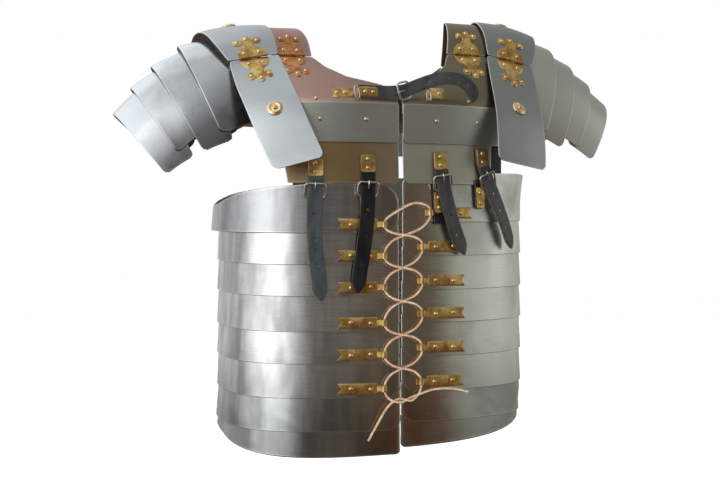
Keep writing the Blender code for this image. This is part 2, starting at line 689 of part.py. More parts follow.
def make_chest():
    for side, sign in SIDES.items():
        for face, prefix in (("front", "chest"), ("back", "back")):
            collar = shell(
                f"{prefix}_collar_{side}",
                band_form(0, COLLAR_BOTTOM, COLLAR_OUT[face], COLLAR_SIDE[face], face, side,
                          collar_height(face)),
                STEEL, (12, 6), (0.0, PLATE), TORSO_CORE, sign)
            shell(
                f"{prefix}_band_{side}",
                band_form(BAND_TOP, BAND_BOTTOM, BAND_SIDE[face], BAND_SIDE[face], face, side),
                STEEL, (10, 1), (BAND_LIFT, BAND_LIFT + PLATE), TORSO_CORE, sign)
            shell(
                f"{prefix}_low_{side}",
                band_form(LOW_TOP, LOW_BOTTOM, *LOW_SIDES[face, side], face, side),
                STEEL, (10, 1), (LOW_LIFT, LOW_LIFT + PLATE), TORSO_CORE, sign, flare=LOW_FLARE)
            unite(collar, collar_fittings(side, face))


def collar_fittings(side, face):
    """The hinge leaf on a collar plate and, on the front, its neck plate."""
    sign = SIDES[side]
    helpers = hinge_half(f"{face}_{side}_collar_hinge_low", collar_axis(side, face),
                         collar_leaf_form(face, side), sign, centre=True)
    if face == "front":
        near, far = NECK_PLATE[side]
        helpers.append(shell(
            f"neck_plate_{side}",
            lambda u, v: chest_point((near + (far - near) * u) * MM,
                                     (NECK_PLATE_TOP - NECK_PLATE_HEIGHT * v) * MM,
                                     face, side),
            BRASS_FINISH, (2, 1), (PLATE - BITE, PLATE + BRASS), TORSO_CORE, sign))
    return helpers


# ---------------------------------------------------------------- hinges
def axis_of(form, side, face):
    """A hinge's axis over the joint line at the end (v 0 or 1) of a shoulder plate.

    Returns its middle, its direction and the outward direction.
    """
    sign = SIDES[side]
    v = 0 if face == "front" else 1
    a, b = form(0, v), form(1, v)
    facing = -1 if face == "front" else 1
    slope = math.radians(HINGE_SLOPE)
    along = (b - a).normalized()
    outward = Vector((0, facing * math.sin(slope), math.cos(slope)))
    outward = (outward - along * outward.dot(along)).normalized()
    middle = (a + b) / 2 + outward * AXIS_RISE
    return tuple(Vector((sign * way.x, way.y, way.z)) for way in (middle, along, outward))


def collar_axis(side, face):
    return axis_of(plate_of_rows(COLLAR_TOP_ROWS, side, pinned=True), side, face)


def collar_leaf_form(face, side):
    """The strip of the collar plate under its hinge leaf."""
    row = COLLAR_TOP_ROWS[0 if face == "front" else -1]
    middle = (row["in"][0] + row["out"][0]) / 2 * MM

    def form(u, v):
        x = middle + (u - 0.5) * HINGE_WIDTH
        z = HINGE_LINE * MM - COLLAR_FALL * (LEAF_CLEAR + HINGE_LEAF["collar_low"] * v)
        return chest_point(x, z, face, side)

    return form


def hinge_half(name, axis, form, sign, centre):
    """A hinge leaf and its barrels: the middle one with a bore, or the outer two with the pin."""
    middle, along, outward = axis
    leaf = shell(name, form, BRASS_FINISH, (2, 3), (PLATE - BITE, PLATE + BRASS),
                 SHOULDER_CORE, sign)
    third = HINGE_WIDTH / 3
    helpers = [leaf]
    for way in (0,) if centre else (-1, 1):
        near = middle + along * (way * third - (third - BARREL_AIR) / 2)
        far = middle + along * (way * third + (third - BARREL_AIR) / 2)
        helpers.append(barrel(f"{name}_barrel_{way + 1}", near, far, BARREL_RADIUS,
                              BRASS_FINISH, BARREL_BORE if centre else None))
        u = 0.5 + way / 3
        foot = form(u, 0.12) + outward_normal(form, u, 0.12, SHOULDER_CORE) * (PLATE + BRASS / 2)
        foot.x *= sign
        head = (near + far) / 2
        aside = foot - head
        aside -= along * aside.dot(along) + outward * aside.dot(outward)
        head += (aside.normalized() - outward) * (BARREL_RADIUS + BARREL_BORE) / 2 * 0.71
        helpers.append(bar(f"{name}_tab_{way + 1}", foot, head, along, third - 1.2 * MM,
                           HINGE_TAB, BRASS_FINISH))
    if not centre:
        reach = along * (HINGE_WIDTH / 2 - 0.6 * MM)
        helpers.append(barrel(name + "_pin", middle - reach, middle + reach, PIN_RADIUS,
                              BRASS_FINISH, sides=6))
    return helpers


# ---------------------------------------------------------------- shoulders
def rows_length(rows):
    """The length of a plate along its middle line."""
    middles = [(np.array(row["in"]) + np.array(row["out"])) / 2 * MM for row in rows]
    return sum(np.linalg.norm(b - a) for a, b in zip(middles, middles[1:]))


def end_strip(rows, form, at_end, leaf):
    """The strip under a hinge leaf at the start or the end of a plate: v leads away from it."""
    length = rows_length(rows)
    end = rows[-1 if at_end else 0]
    width = np.linalg.norm(np.array(end["in"]) - np.array(end["out"])) * MM
    half = HINGE_WIDTH / width / 2
    near, far = LEAF_CLEAR / length, (LEAF_CLEAR + HINGE_LEAF[leaf]) / length
    if at_end:
        near, far = 1 - near, 1 - far
    return patch(form, (0.5 - half, 0.5 + half), (near, far))


def shoulder_plate(name, rows, side, grid, shape=PLAIN_LEAF, pinned=False, trims=(1, 1)):
    """A plate through its rows, cut back a little from the hinge lines at its ends."""
    form = plate_of_rows(rows, side, shape, pinned)
    trim = HINGE_AIR / rows_length(rows)
    inside = patch(form, (0, 1), (trim * trims[0], 1 - trim * trims[1]))
    made = shell(name, inside, STEEL, grid, (0.0, PLATE), SHOULDER_CORE, SIDES[side])
    return made, form


def place_origin(made, point):
    """Moves an object's origin to a point of its hinge's axis; its shape stays."""
    made.data.transform(Matrix.Translation(-point))
    made.location = point


def make_shoulders():
    for side, sign in SIDES.items():
        top, form = shoulder_plate(f"collar_top_{side}", COLLAR_TOP_ROWS, side, (1, 12),
                                   pinned=True)
        for face in ("front", "back"):
            unite(top, hinge_half(
                f"{face}_{side}_collar_hinge_high", collar_axis(side, face),
                end_strip(COLLAR_TOP_ROWS, form, face == "back", "collar_high"),
                sign, centre=False))
        guard, form = shoulder_plate(f"guard_top_{side}", GUARD_TOP_ROWS, side, (4, 12))
        for face, rows in (("front", GUARD_LEAF_ROWS), ("back", BACK_LEAF_ROWS)):
            axis = axis_of(form, side, face)
            unite(guard, hinge_half(
                f"{face}_{side}_guard_hinge_high", axis,
                end_strip(GUARD_TOP_ROWS, form, face == "back", "guard_high"),
                sign, centre=False))
            shape = LEAF_SHAPE[side] if face == "front" else PLAIN_LEAF
            leaf, leaf_form = shoulder_plate(f"guard_{face}_{side}", rows, side, (3, 8), shape,
                                             trims=(1, 0))
            place_origin(leaf, axis[0])
            unite(leaf, hinge_half(
                f"{face}_{side}_guard_hinge_low", axis,
                end_strip(rows, leaf_form, False, "guard_low"), sign, centre=True))
        for name, row in zip(LAME_NAMES, LAME_ROWS[side]):
            make_lame(name, row, side)


def make_lame(name, row, side):
    """A lesser shoulder plate: an arch over the arm that lies under the plate inside it."""
    def form(u, v):
        way = 2 * u - 1
        arch = row["end"] * way * (1 + row["skew"] * (1 - v) * max(way, 0) ** 2)
        spread = LAME_SPREAD["front" if arch > 0 else "back"] if name == "a" else 0.0
        breadth = row["span"] * (1 + spread * (1 - math.cos(math.radians(arch))))
        crown = row["edge"] - breadth * (1 - v)
        point = shoulder_point(crown, arch, side)
        tuck = LAME_TUCK * (1 - v) * math.cos(math.radians(arch))
        point.x -= tuck * math.sin(math.radians(crown))
        point.z -= tuck * math.cos(math.radians(crown))
        return point

    shell(f"lame_{name}_{side}", form, STEEL, (LAME_SEGMENTS, 2), (0.0, PLATE),
          SHOULDER_CORE, SIDES[side], flare=LAME_FLARE)


# ---------------------------------------------------------------- straps and buckles
def strap_stations(strap):
    """The stations of a strap that hangs over the torso form."""
    side, face = strap["side"], strap["face"]
    stations = []
    rows = [surface_at(side, x * MM, z * MM, face) for x, _, z in strap["rows"]]
    for i, ((point, normal), (_, lift, _)) in enumerate(zip(rows, strap["rows"])):
        before, after = rows[max(i - 1, 0)][0], rows[min(i + 1, len(rows) - 1)][0]
        along = (after - before).normalized()
        across = along.cross(normal).normalized()
        outward = across.cross(along).normalized()
        if outward.dot(normal) < 0:
            outward = -outward
        stations.append((point + normal * lift * MM, across, outward))
    return stations


def frame_buckle(name, middle, across, outward, size):
    """A buckle's frame: round wire bent into a rectangle with rounded corners."""
    width, height = size
    down = across.cross(outward).normalized()
    bend = 3 * MM
    corners = [(1, 1), (-1, 1), (-1, -1), (1, -1)]
    path = []
    for i, (right, low) in enumerate(corners):
        for step in range(3):
            angle = math.radians(90 * i + 45 * step)
            path.append(middle
                        + across * (right * (width / 2 - bend) + bend * math.cos(angle))
                        + down * (low * (height / 2 - bend) + bend * math.sin(angle)))
    maker = bmesh.new()
    rings = []
    for i, point in enumerate(path):
        along = (path[(i + 1) % len(path)] - path[i - 1]).normalized()
        side = outward.cross(along)
        rings.append([maker.verts.new(point + (side * math.cos(turn) + outward * math.sin(turn))
                                      * WIRE) for turn in np.arange(6) * math.pi / 3])
    for i, ring in enumerate(rings):
        following = rings[(i + 1) % len(rings)]
        for j in range(6):
            k = (j + 1) % 6
            maker.faces.new((ring[j], ring[k], following[k], following[j]))
    return add_object(name, maker, NICKEL)


def make_straps():
    for name, strap in STRAPS.items():
        stations = strap_stations(strap)
        ribbon(name, stations, STRAP_WIDTH, LEATHER, HIDE, tip=True)
        point, across, outward = stations[BUCKLE_ROW]
        middle = point + outward * (LEATHER + WIRE + BUCKLE_AIR)
        frame_buckle("buckle_" + name, middle, across, outward, BUCKLE_SIZE)


def make_neck_strap():
    rows = [Vector(row["at"]) * MM for row in NECK_STRAP_ROWS]
    stations = []
    for i, (point, row) in enumerate(zip(rows, NECK_STRAP_ROWS)):
        along = (rows[min(i + 1, len(rows) - 1)] - rows[max(i - 1, 0)]).normalized()
        outward = Vector((0, -1, 0)) - along * (-along.y)
        outward.normalize()
        across = along.cross(outward).normalized()
        turn = Matrix.Rotation(math.radians(row["roll"]), 3, along)
        stations.append((point, turn @ across, turn @ outward))
    ribbon("neck_strap", stations, NECK_STRAP_WIDTH, LEATHER, HIDE, tip=True)
    point, across, outward = stations[NECK_BUCKLE_AT]
    middle = point + outward * (LEATHER + WIRE + BUCKLE_AIR)
    frame_buckle("neck_buckle", middle, across, outward, NECK_BUCKLE_SIZE)


# ---------------------------------------------------------------- laces
def lace_points(face):
    """The lace's own route: criss-cross through the eyes, over the top and back down."""
    eyes = {(side, i): eye_place(i, side, face)[0] for side in SIDES for i in range(TIED_HOOPS)}
    facing = -1 if face == "front" else 1
    straight = Vector((0, 0, EYE_HEIGHT / 2 + 1.5 * MM))

    def crossing(i, strand):
        around = [eyes[side, k] for side in SIDES for k in (i, i + 1)]
        point = sum(around, Vector()) / 4
        point.y += facing * (0.5 * MM + strand * CROSS_LIFT)
        return point

    def rounded(cross, end, eye):
        """A point that rounds the lace's way between a crossing and an eye."""
        point = cross.lerp(end, 0.5)
        point.x += (eye.x - cross.x) * LACE_BULGE[0]
        point.z += (cross.z - eye.z) * LACE_BULGE[1]
        return point

    def strand(first, downwards, weight):
        """One strand's points from the top eyes down, or up."""
        points = []
        side = first
        for i in range(TIED_HOOPS):
            eye = eyes[side, i]
            if i:
                points.append(rounded(points[-1], eye + straight, eye))
            points += [eye + straight, eye - straight]
            if i < TIED_HOOPS - 1:
                below = crossing(i, weight * (1 if i % 2 else -1))
                points += [rounded(below, eye - straight, eye), below]
            side = "left" if side == "right" else "right"
        return points if downwards else points[::-1]

    top = [Vector((x * MM, facing * (HALF_DEPTH + lift * MM), z * MM))
           for x, lift, z in LACE_ARC[face]]
    start = [lace_end_point(row, face) for row in LACE_ENDS[face]["from_right"]]
    finish = [lace_end_point(row, face) for row in LACE_ENDS[face]["from_left"]]
    # the strand that starts at the left's top eye ends at the right's lowest one
    return (start[::-1] + strand("left", False, 1) + top + strand("right", True, -1) + finish)


def lace_end_point(row, face):
    x, lift, z = row
    side = "left" if x > 0 else "right"
    point, normal = surface_at(side, abs(x) * MM, z * MM, face)
    return point + normal * lift * MM


def make_laces():
    for face in ("front", "back"):
        knots = [np.array(point) for point in lace_points(face)]
        spans = len(knots) - 1
        route = [knots[0]]
        for i in range(spans):
            pieces = max(1, round(np.linalg.norm(knots[i + 1] - knots[i]) / LACE_STRETCH))
            route += [smooth_row(knots, (i + k / pieces) / spans) for k in range(1, pieces + 1)]
        cord(f"lace_{face}", route, LACE_RADIUS, THONG)


def main():
    for old in list(bpy.data.objects):
        bpy.data.objects.remove(old, do_unlink=True)
    make_hoops()
    make_chest()
    make_shoulders()
    make_straps()
    make_neck_strap()
    make_laces()


main()
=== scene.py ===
"""Lorica segmentata: the looks of a Roman laminated plate armour with no wearer.

Metres, +Z up, the wearer's front towards -Y, and the origin midway between the collar tops.
"right" is the wearer's right, at -X. Each plate is a patch of a form, a function of (u, v) that
gives a point at +X, and the right half is its mirror image.
"""
from __future__ import annotations

import logging
import math
from collections.abc import Callable, Sequence
from dataclasses import dataclass, field, replace
from enum import Enum

import bmesh
import bpy
import numpy as np
from mathutils import Matrix, Vector, noise
from mathutils.geometry import delaunay_2d_cdt

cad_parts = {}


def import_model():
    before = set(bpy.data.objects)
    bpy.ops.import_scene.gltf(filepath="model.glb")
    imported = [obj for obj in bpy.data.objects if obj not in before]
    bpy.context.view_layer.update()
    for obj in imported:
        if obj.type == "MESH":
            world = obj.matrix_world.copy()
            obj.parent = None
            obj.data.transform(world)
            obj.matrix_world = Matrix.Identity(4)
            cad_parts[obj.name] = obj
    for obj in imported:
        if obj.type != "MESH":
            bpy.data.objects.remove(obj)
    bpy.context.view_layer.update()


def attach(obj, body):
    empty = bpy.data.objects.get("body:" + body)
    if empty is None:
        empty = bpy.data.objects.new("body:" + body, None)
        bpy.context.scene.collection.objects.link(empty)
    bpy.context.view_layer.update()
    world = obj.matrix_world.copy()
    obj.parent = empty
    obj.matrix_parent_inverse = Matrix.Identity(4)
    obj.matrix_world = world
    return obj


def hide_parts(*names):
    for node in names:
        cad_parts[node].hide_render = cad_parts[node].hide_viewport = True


LOG = logging.getLogger("lorica")
MM = 0.001
ROOT = "armour"             # the body that every fixed piece rides on
Form = Callable[[float, float], Vector]
Placer = Callable[[float, float, float], Vector]
Spot = tuple[float, float]
Loop = Sequence[Spot]
Place = tuple[float, float, float]


class Side(Enum):
    """Which half of the armour a piece belongs to."""

    RIGHT = "right"
    LEFT = "left"

    @property
    def sign(self) -> int:
        """The half's direction along X."""
        return -1 if self is Side.RIGHT else 1


class Face(Enum):
    """Whether a piece is on the front or the back."""

    FRONT = "front"
    BACK = "back"

    @property
    def facing(self) -> int:
        """The face's direction along Y."""
        return -1 if self is Face.FRONT else 1


class Slot(Enum):
    """The record's material slots."""

    STEEL = "steel"
    BRASS = "brass"
    NICKEL = "nickel"
    HIDE = "black_leather"
    THONG = "lace_leather"


class StrapSheen(Enum):
    """How much painted sheen lightens the black of a strap; the waxed one has none."""

    WAXED = "waxed"
    # a painted bluish-grey sheen, standing for the highlights that a strap catches
    RUBBED = "rubbed"
    # a painted grey sheen, standing for the light that falls on a strap
    GREYED = "greyed"


class Half(Enum):
    """The halves of the brass hinges over the shoulders."""

    ON_COLLAR_TOP = "on the collar top"
    ON_COLLAR = "on the collar"
    ON_GUARD_TOP = "on the guard top"
    ON_LEAF = "on the guard leaf"


# ---------------------------------------------------------------- driving sizes
SHOULDER_RISE = {Side.RIGHT: -8 * MM, Side.LEFT: 8 * MM}
SHOULDER_OUT = {Side.RIGHT: -4.5 * MM, Side.LEFT: 4.5 * MM}
PLATE = 1.2 * MM
STEP = PLATE + 0.35 * MM    # from one plate's face to the next one's
BRASS = 0.9 * MM
SEAT = 0.05 * MM            # the gap between a brass fitting and the steel under it
HALF_WIDTH = 0.185
HALF_DEPTH = 0.125
SQUARENESS = 2.6

HOOP_OVERLAP = 12 * MM
TOP_HOOP_HEIGHT = 57 * MM
HOOP_FLARE = 2.4 * MM
HEM_FLARE = 0.6 * MM
# half of the front gap and the lower edge of each hoop at the front, mm
HOOP_ROWS = [
    {"half_gap": 2.4, Side.RIGHT: -243.0, Side.LEFT: -229.5},
    {"half_gap": 2.2, Side.RIGHT: -278.5, Side.LEFT: -268.0},
    {"half_gap": 1.8, Side.RIGHT: -314.0, Side.LEFT: -307.0},
    {"half_gap": 1.4, Side.RIGHT: -354.0, Side.LEFT: -344.5},
    {"half_gap": 1.1, Side.RIGHT: -390.0, Side.LEFT: -383.0},
    {"half_gap": 0.9, Side.RIGHT: -428.5, Side.LEFT: -422.0},
    {"half_gap": 0.2, Side.RIGHT: -466.0, Side.LEFT: -457.0},
    {"half_gap": 0.2, Side.RIGHT: -499.0, Side.LEFT: -485.0},
]
# every 20 degrees from the front gap to the back gap, mm: how far the top hoop's upper edge
# falls, and how far the lowest hoop's edge rises
TOP_FALLS = {
    Side.RIGHT: (0.0, 0.0, 4.0, 9.5, 19.5, 28.0, 20.0, 10.0, 7.0, 6.0),
    Side.LEFT: (0.0, 0.0, 0.0, 0.5, 3.5, 8.0, 9.0, 9.0, 8.0, 6.0),
}
HEM_RISES = {
    Side.RIGHT: (5.5, 4.0, 4.5, 8.5, 14.5, 22.5, 20.0, 12.0, 8.0, 6.0),
    Side.LEFT: (-1.0, 3.5, 9.5, 17.5, 23.5, 22.0, 16.0, 10.0, 6.0, 5.0),
}
TOP_FLARE = {Side.RIGHT: 0.0, Side.LEFT: 8 * MM}
# how far the hoops under the top one are drawn in at the sides, mm, by height
WAIST = [
    {"z": -499.0, Side.RIGHT: 5.0, Side.LEFT: 7.0},
    {"z": -485.0, Side.RIGHT: 7.0, Side.LEFT: 7.0},
    {"z": -470.0, Side.RIGHT: 8.5, Side.LEFT: 4.0},
    {"z": -445.0, Side.RIGHT: 9.5, Side.LEFT: 3.5},
    {"z": -432.0, Side.RIGHT: 10.5, Side.LEFT: 0.0},
    {"z": -235.0, Side.RIGHT: 10.5, Side.LEFT: 0.0},
]
TOP_WAIST = {Side.RIGHT: 1.5, Side.LEFT: 0.0}
GIRDLE_TILT = {Side.RIGHT: 0.03, Side.LEFT: 0.05}

TIED_HOOPS = 6
TIE_INSET = {       # how far from the middle the plates' inner ends are, hoop by hoop, mm
    Side.RIGHT: (27.5,) * TIED_HOOPS,
    Side.LEFT: (43.0, 33.5, 33.5, 33.5, 33.0, 32.0),
}
TIE_RISE = 10.5 * MM
EYE_RADIUS = 3.3 * MM
EYE_HEIGHT = 7 * MM
EYE_REACH = {Side.RIGHT: 6.5 * MM, Side.LEFT: 8.8 * MM}

BAND_TOP, BAND_BOTTOM = -95.0, -140.0
LOW_TOP, LOW_BOTTOM = -128.0, -186.0
COLLAR_BOTTOM = -107.0
COLLAR_SIDE = {Face.FRONT: 146.0, Face.BACK: 148.0}
BAND_SIDE = {Face.FRONT: 146.0, Face.BACK: 92.0}
LOW_SIDES = {
    (Face.FRONT, Side.RIGHT): (136.0, 126.0), (Face.FRONT, Side.LEFT): (119.0, 115.0),
    (Face.BACK, Side.RIGHT): (61.0, 58.0), (Face.BACK, Side.LEFT): (61.0, 58.0),
}
CHEST_LINE, HINGE_LINE = -95.0, -32.0
CHEST_BOW = 1.35            # how early the chest's top draws in towards the hinge
SETTLE_SPAN = 107 * MM      # the height over which the shoulders settle to their own levels
HINGE_SHARE = (HINGE_LINE - CHEST_LINE) * MM / SETTLE_SPAN
HINGE_DEPTH = {Face.FRONT: -54 * MM, Face.BACK: 64 * MM}
COLLAR_OUT = {Face.FRONT: 135.0, Face.BACK: 162.0}
# the neckline, mm: distance from the middle, height at the front and at the back
NECKLINE = [
    {"x": 2.5, Face.FRONT: -88.0, Face.BACK: -68.0},
    {"x": 16.0, Face.FRONT: -71.0, Face.BACK: -67.5},
    {"x": 34.0, Face.FRONT: -66.0, Face.BACK: -66.0},
    {"x": 54.0, Face.FRONT: -60.5, Face.BACK: -63.0},
    {"x": 74.0, Face.FRONT: -47.0, Face.BACK: -58.0},
    {"x": 84.0, Face.FRONT: -33.0, Face.BACK: -55.0},
    {"x": 104.0, Face.FRONT: -33.0, Face.BACK: -46.0},
    {"x": 121.0, Face.FRONT: -33.0, Face.BACK: -33.0},
]

# plates that lead from hinge to hinge, mm: (inner edge), (outer edge), bulge between them
PlateRow = tuple[Place, Place, float]
COLLAR_TOP_ROWS: list[PlateRow] = [
    ((84.0, -54.0, -32.0), (135.0, -54.0, -32.5), 0.0),
    ((88.0, -41.0, -9.5), (135.5, -41.0, -10.0), 0.0),
    ((92.5, -20.0, 5.6), (136.5, -20.0, 5.1), 0.0),
    ((99.0, 5.0, 11.0), (140.0, 5.0, 10.5), 0.0),
    ((108.5, 30.0, 5.6), (146.0, 30.0, 5.1), 0.0),
    ((117.0, 51.0, -9.5), (154.5, 51.0, -10.0), 0.0),
    ((122.0, 64.0, -32.0), (162.0, 64.0, -32.5), 0.0),
]
GUARD_TOP_ROWS: list[PlateRow] = [
    ((130.5, -60.0, -31.5), (188.5, -60.0, -43.0), 0.0),
    ((132.0, -45.7, -7.5), (200.0, -45.7, -22.5), 1.6),
    ((133.5, -22.7, 8.2), (208.0, -22.7, -5.5), 2.8),
    ((137.0, 5.0, 13.6), (212.5, 5.0, 0.0), 3.2),
    ((143.0, 32.7, 8.2), (213.0, 32.7, -5.5), 2.8),
    ((151.0, 55.7, -7.5), (211.0, 55.7, -22.5), 1.6),
    ((157.0, 70.0, -31.5), (210.0, 70.0, -43.0), 0.0),
]
FRONT_LEAF_ROWS: list[PlateRow] = [
    ((129.5, -60.0, -31.5), (188.5, -60.0, -43.0), 0.0),
    ((127.5, -92.0, -63.0), (186.0, -83.0, -76.0), 1.2),
    ((125.0, -120.0, -95.0), (181.5, -106.0, -109.0), 1.6),
    ((121.0, -138.0, -127.0), (177.0, -123.0, -140.0), 1.6),
    ((117.0, -150.0, -158.0), (171.5, -135.0, -169.0), 1.2),
]
BACK_LEAF_ROWS: list[PlateRow] = [
    ((157.0, 70.0, -31.5), (210.0, 70.0, -43.0), 0.0),
    ((155.0, 86.0, -52.0), (207.0, 81.0, -63.5), 1.2),
    ((151.0, 101.0, -74.0), (203.0, 93.0, -85.5), 1.6),
    ((146.0, 113.0, -97.0), (197.0, 103.0, -108.0), 1.2),
]
LEAF_ROWS = {Face.FRONT: FRONT_LEAF_ROWS, Face.BACK: BACK_LEAF_ROWS}
# the front leaf: how far its foot swings inwards, how much broader it is on its inner side, and
# how much lower its outer corner hangs
LEAF_SHAPE = {
    Side.RIGHT: {"lean": 16.5 * MM, "broader": 0.0, "lower": 4.0 * MM},
    Side.LEFT: {"lean": -1 * MM, "broader": 11.5 * MM, "lower": 0.0},
}
PLAIN_LEAF = {"lean": 0.0, "broader": 0.0, "lower": 0.0}
HINGE_AIR = 0.6 * MM

CROWN_ARC = {
    Side.RIGHT: {"x": 0.0943, "z": -0.2253, "radius": 0.240},
    Side.LEFT: {"x": 0.0519, "z": -0.2978, "radius": 0.340},
}
ARM_MIDDLE = 5 * MM
ARM_HALF_DEPTH = 0.078
ARM_SWEEP = 0.15
ARCH_DROP = 0.138
LAME_FLARE = 3.4 * MM
LAME_TUCK = 7 * MM
BACK_LEAN = {Side.RIGHT: 14.0, Side.LEFT: 0.0}
LAME_SPREAD = {Face.FRONT: 0.6, Face.BACK: -0.4}
# degrees, plate by plate: outer edge on the crown arc, breadth there, lean of the arch, its end,
# and how much further its inner border reaches in front
LAME_ROWS = {
    Side.RIGHT: [
        {"edge": 34.5, "span": 8.5, "lean": 24.0, "end": 80, "skew": 0.03},
        {"edge": 43.8, "span": 12.0, "lean": 29.5, "end": 80, "skew": 0.06},
        {"edge": 52.0, "span": 12.5, "lean": 33.5, "end": 70, "skew": 0.03},
        {"edge": 60.5, "span": 13.0, "lean": 39.0, "end": 70, "skew": 0.1},
    ],
    Side.LEFT: [
        {"edge": 32.4, "span": 7.5, "lean": 20.0, "end": 82, "skew": 0.03},
        {"edge": 38.0, "span": 8.6, "lean": 23.5, "end": 82, "skew": 0.03},
        {"edge": 43.4, "span": 9.4, "lean": 28.5, "end": 74, "skew": 0.03},
        {"edge": 49.4, "span": 9.6, "lean": 35.0, "end": 71, "skew": 0.06},
    ],
}
LAME_NAMES = ("a", "b", "c", "d")

HINGE_WIDTH = 33 * MM
HINGE_STRETCH = {Half.ON_COLLAR_TOP: 1.17, Half.ON_COLLAR: 1.4, Half.ON_GUARD_TOP: 1.04,
                 Half.ON_LEAF: 1.25}
BARREL_RADIUS = 1.6 * MM
PIN_RADIUS = 0.7 * MM
AXIS_RISE = PLATE + BARREL_RADIUS + 0.4 * MM
LEAF_CLEAR = 2.4 * MM
HINGE_SLOPE = 55

LEATHER = 1.8 * MM
STRAP_WIDTH = 17 * MM
STRAP_TIP = 17 * MM
NECK_STRAP_WIDTH = 15 * MM
NECK_STRAP_TIP = 15 * MM
LACE_RADIUS = 1.25 * MM
CROSS_LIFT = 2.0 * MM
UP = Vector((0.0, 0.0, 1.0))
TORSO_CORE = (0.0, 0.0, 0.0)
SHOULDER_CORE = (0.0, 0.015, -0.12)


# ---------------------------------------------------------------- curves and forms
def held(share: float) -> float:
    """A share held between 0 and 1."""
    return min(max(share, 0.0), 1.0)


def smooth_row(rows: Sequence[np.ndarray], t: float) -> np.ndarray:
    """A smooth curve through rows.

    Args:
        rows: The points that the curve passes through.
        t: The place along it, from 0 to 1.

    Returns:
        The curve's point there.
    """
    place = held(t) * (len(rows) - 1)
    i = min(int(place), len(rows) - 2)
    f = place - i
    before = rows[i - 1] if i else 2 * rows[0] - rows[1]
    after = rows[i + 2] if i + 2 < len(rows) else 2 * rows[-1] - rows[-2]
    a, b = rows[i], rows[i + 1]
    return 0.5 * (2 * a + (b - before) * f + (2 * before - 5 * a + 4 * b - after) * f * f
                  + (3 * a - before - 3 * b + after) * f ** 3)


def torso_depth(x: float) -> float:
    """Half the torso form's depth at the distance x from the middle."""
    share = min(abs(x) / HALF_WIDTH, 1.0)
    return HALF_DEPTH * (1 - share ** SQUARENESS) ** (1 / SQUARENESS)


def ring_point(turn: float, z: float) -> Vector:
    """The torso ring's point at a turn, in degrees from the front, and a height."""
    angle = math.radians(turn)
    power = 2 / SQUARENESS
    x = HALF_WIDTH * abs(math.sin(angle)) ** power
    y = -HALF_DEPTH * math.copysign(abs(math.cos(angle)) ** power, math.cos(angle))
    return Vector((x, y, z))


def ring_turn(x: float) -> float:
    """The turn, in degrees, at which the ring is x from the middle, on the front."""
    return math.degrees(math.asin(min(x / HALF_WIDTH, 1.0) ** (SQUARENESS / 2)))


def chest_point(x: float, z: float, face: Face, side: Side) -> Vector:
    """A point of the chest or the back, up to the hinge line, at +X."""
    hinge = HINGE_DEPTH[face]
    rise = held((HINGE_LINE * MM - z) / ((HINGE_LINE - CHEST_LINE) * MM))
    share = 1 - (1 - rise) ** CHEST_BOW
    point = Vector((x, hinge + (face.facing * torso_depth(x) - hinge) * share, z))
    point.z += SHOULDER_RISE[side] * (1 - rise) * HINGE_SHARE
    return point


def neckline(x: float, face: Face) -> float:
    """The neckline's height at the distance x from the middle."""
    columns = [row["x"] for row in NECKLINE]
    return float(np.interp(x / MM, columns, [row[face] for row in NECKLINE])) * MM


def shoulder_point(crown_angle: float, arch_angle: float, side: Side) -> Vector:
    """A point of the form that the lesser shoulder plates lie on, at +X.

    Args:
        crown_angle: Degrees along the crown arc, outwards from straight up.
        arch_angle: Degrees round the arm, with the front positive.
        side: The half of the armour.

    Returns:
        The point.
    """
    rows, arc = LAME_ROWS[side], CROWN_ARC[side]
    lean = math.radians(np.interp(crown_angle, [row["edge"] for row in rows],
                                  [row["lean"] for row in rows])
                        + (BACK_LEAN[side] if arch_angle < 0 else 0.0))
    crown, arch = math.radians(crown_angle), math.radians(arch_angle)
    drop = ARCH_DROP * (1 - math.cos(arch))
    ahead = ARM_HALF_DEPTH * math.sin(arch)
    return Vector((
        arc["x"] + arc["radius"] * math.sin(crown) - drop * math.sin(lean) + ARM_SWEEP * ahead,
        ARM_MIDDLE - ahead,
        arc["z"] + arc["radius"] * math.cos(crown) - drop * math.cos(lean),
    ))


def plate_of_rows(rows: Sequence[PlateRow], side: Side,
                  shape: dict[str, float] = PLAIN_LEAF, pinned: bool = False) -> Form:
    """The form of a plate that its rows describe.

    Args:
        rows: Inner edge, outer edge and bulge, row by row along v.
        side: The half of the armour, which sits a little higher or lower than the rows say.
        shape: The leaf's own departures from its rows.
        pinned: Whether the plate stands where its rows say at the hinge lines.

    Returns:
        The form, with u from the inner to the outer edge.
    """
    inner = [np.array(row[0]) * MM for row in rows]
    outer = [np.array(row[1]) * MM for row in rows]
    bulge = [np.array([row[2]]) * MM for row in rows]

    def form(u: float, v: float) -> Vector:
        """The plate's point."""
        a, b = smooth_row(inner, v), smooth_row(outer, v)
        point = a + (b - a) * u
        outward = point - np.array(SHOULDER_CORE)
        outward[0] = 0.0
        outward /= np.linalg.norm(outward)
        point = point + outward * smooth_row(bulge, v)[0] * 4 * u * (1 - u)
        share = held((point[2] - CHEST_LINE * MM) / SETTLE_SPAN)
        out = max(share - HINGE_SHARE, 0.0) / (1 - HINGE_SHARE) if pinned else 1.0
        point[0] += out * SHOULDER_OUT[side] - shape["lean"] * v * v
        point[0] -= shape["broader"] * (1 - u) * (1 - (1 - v) ** 3)
        point[2] += SHOULDER_RISE[side] * share - shape["lower"] * u * v ** 4
        return Vector(point)

    return form


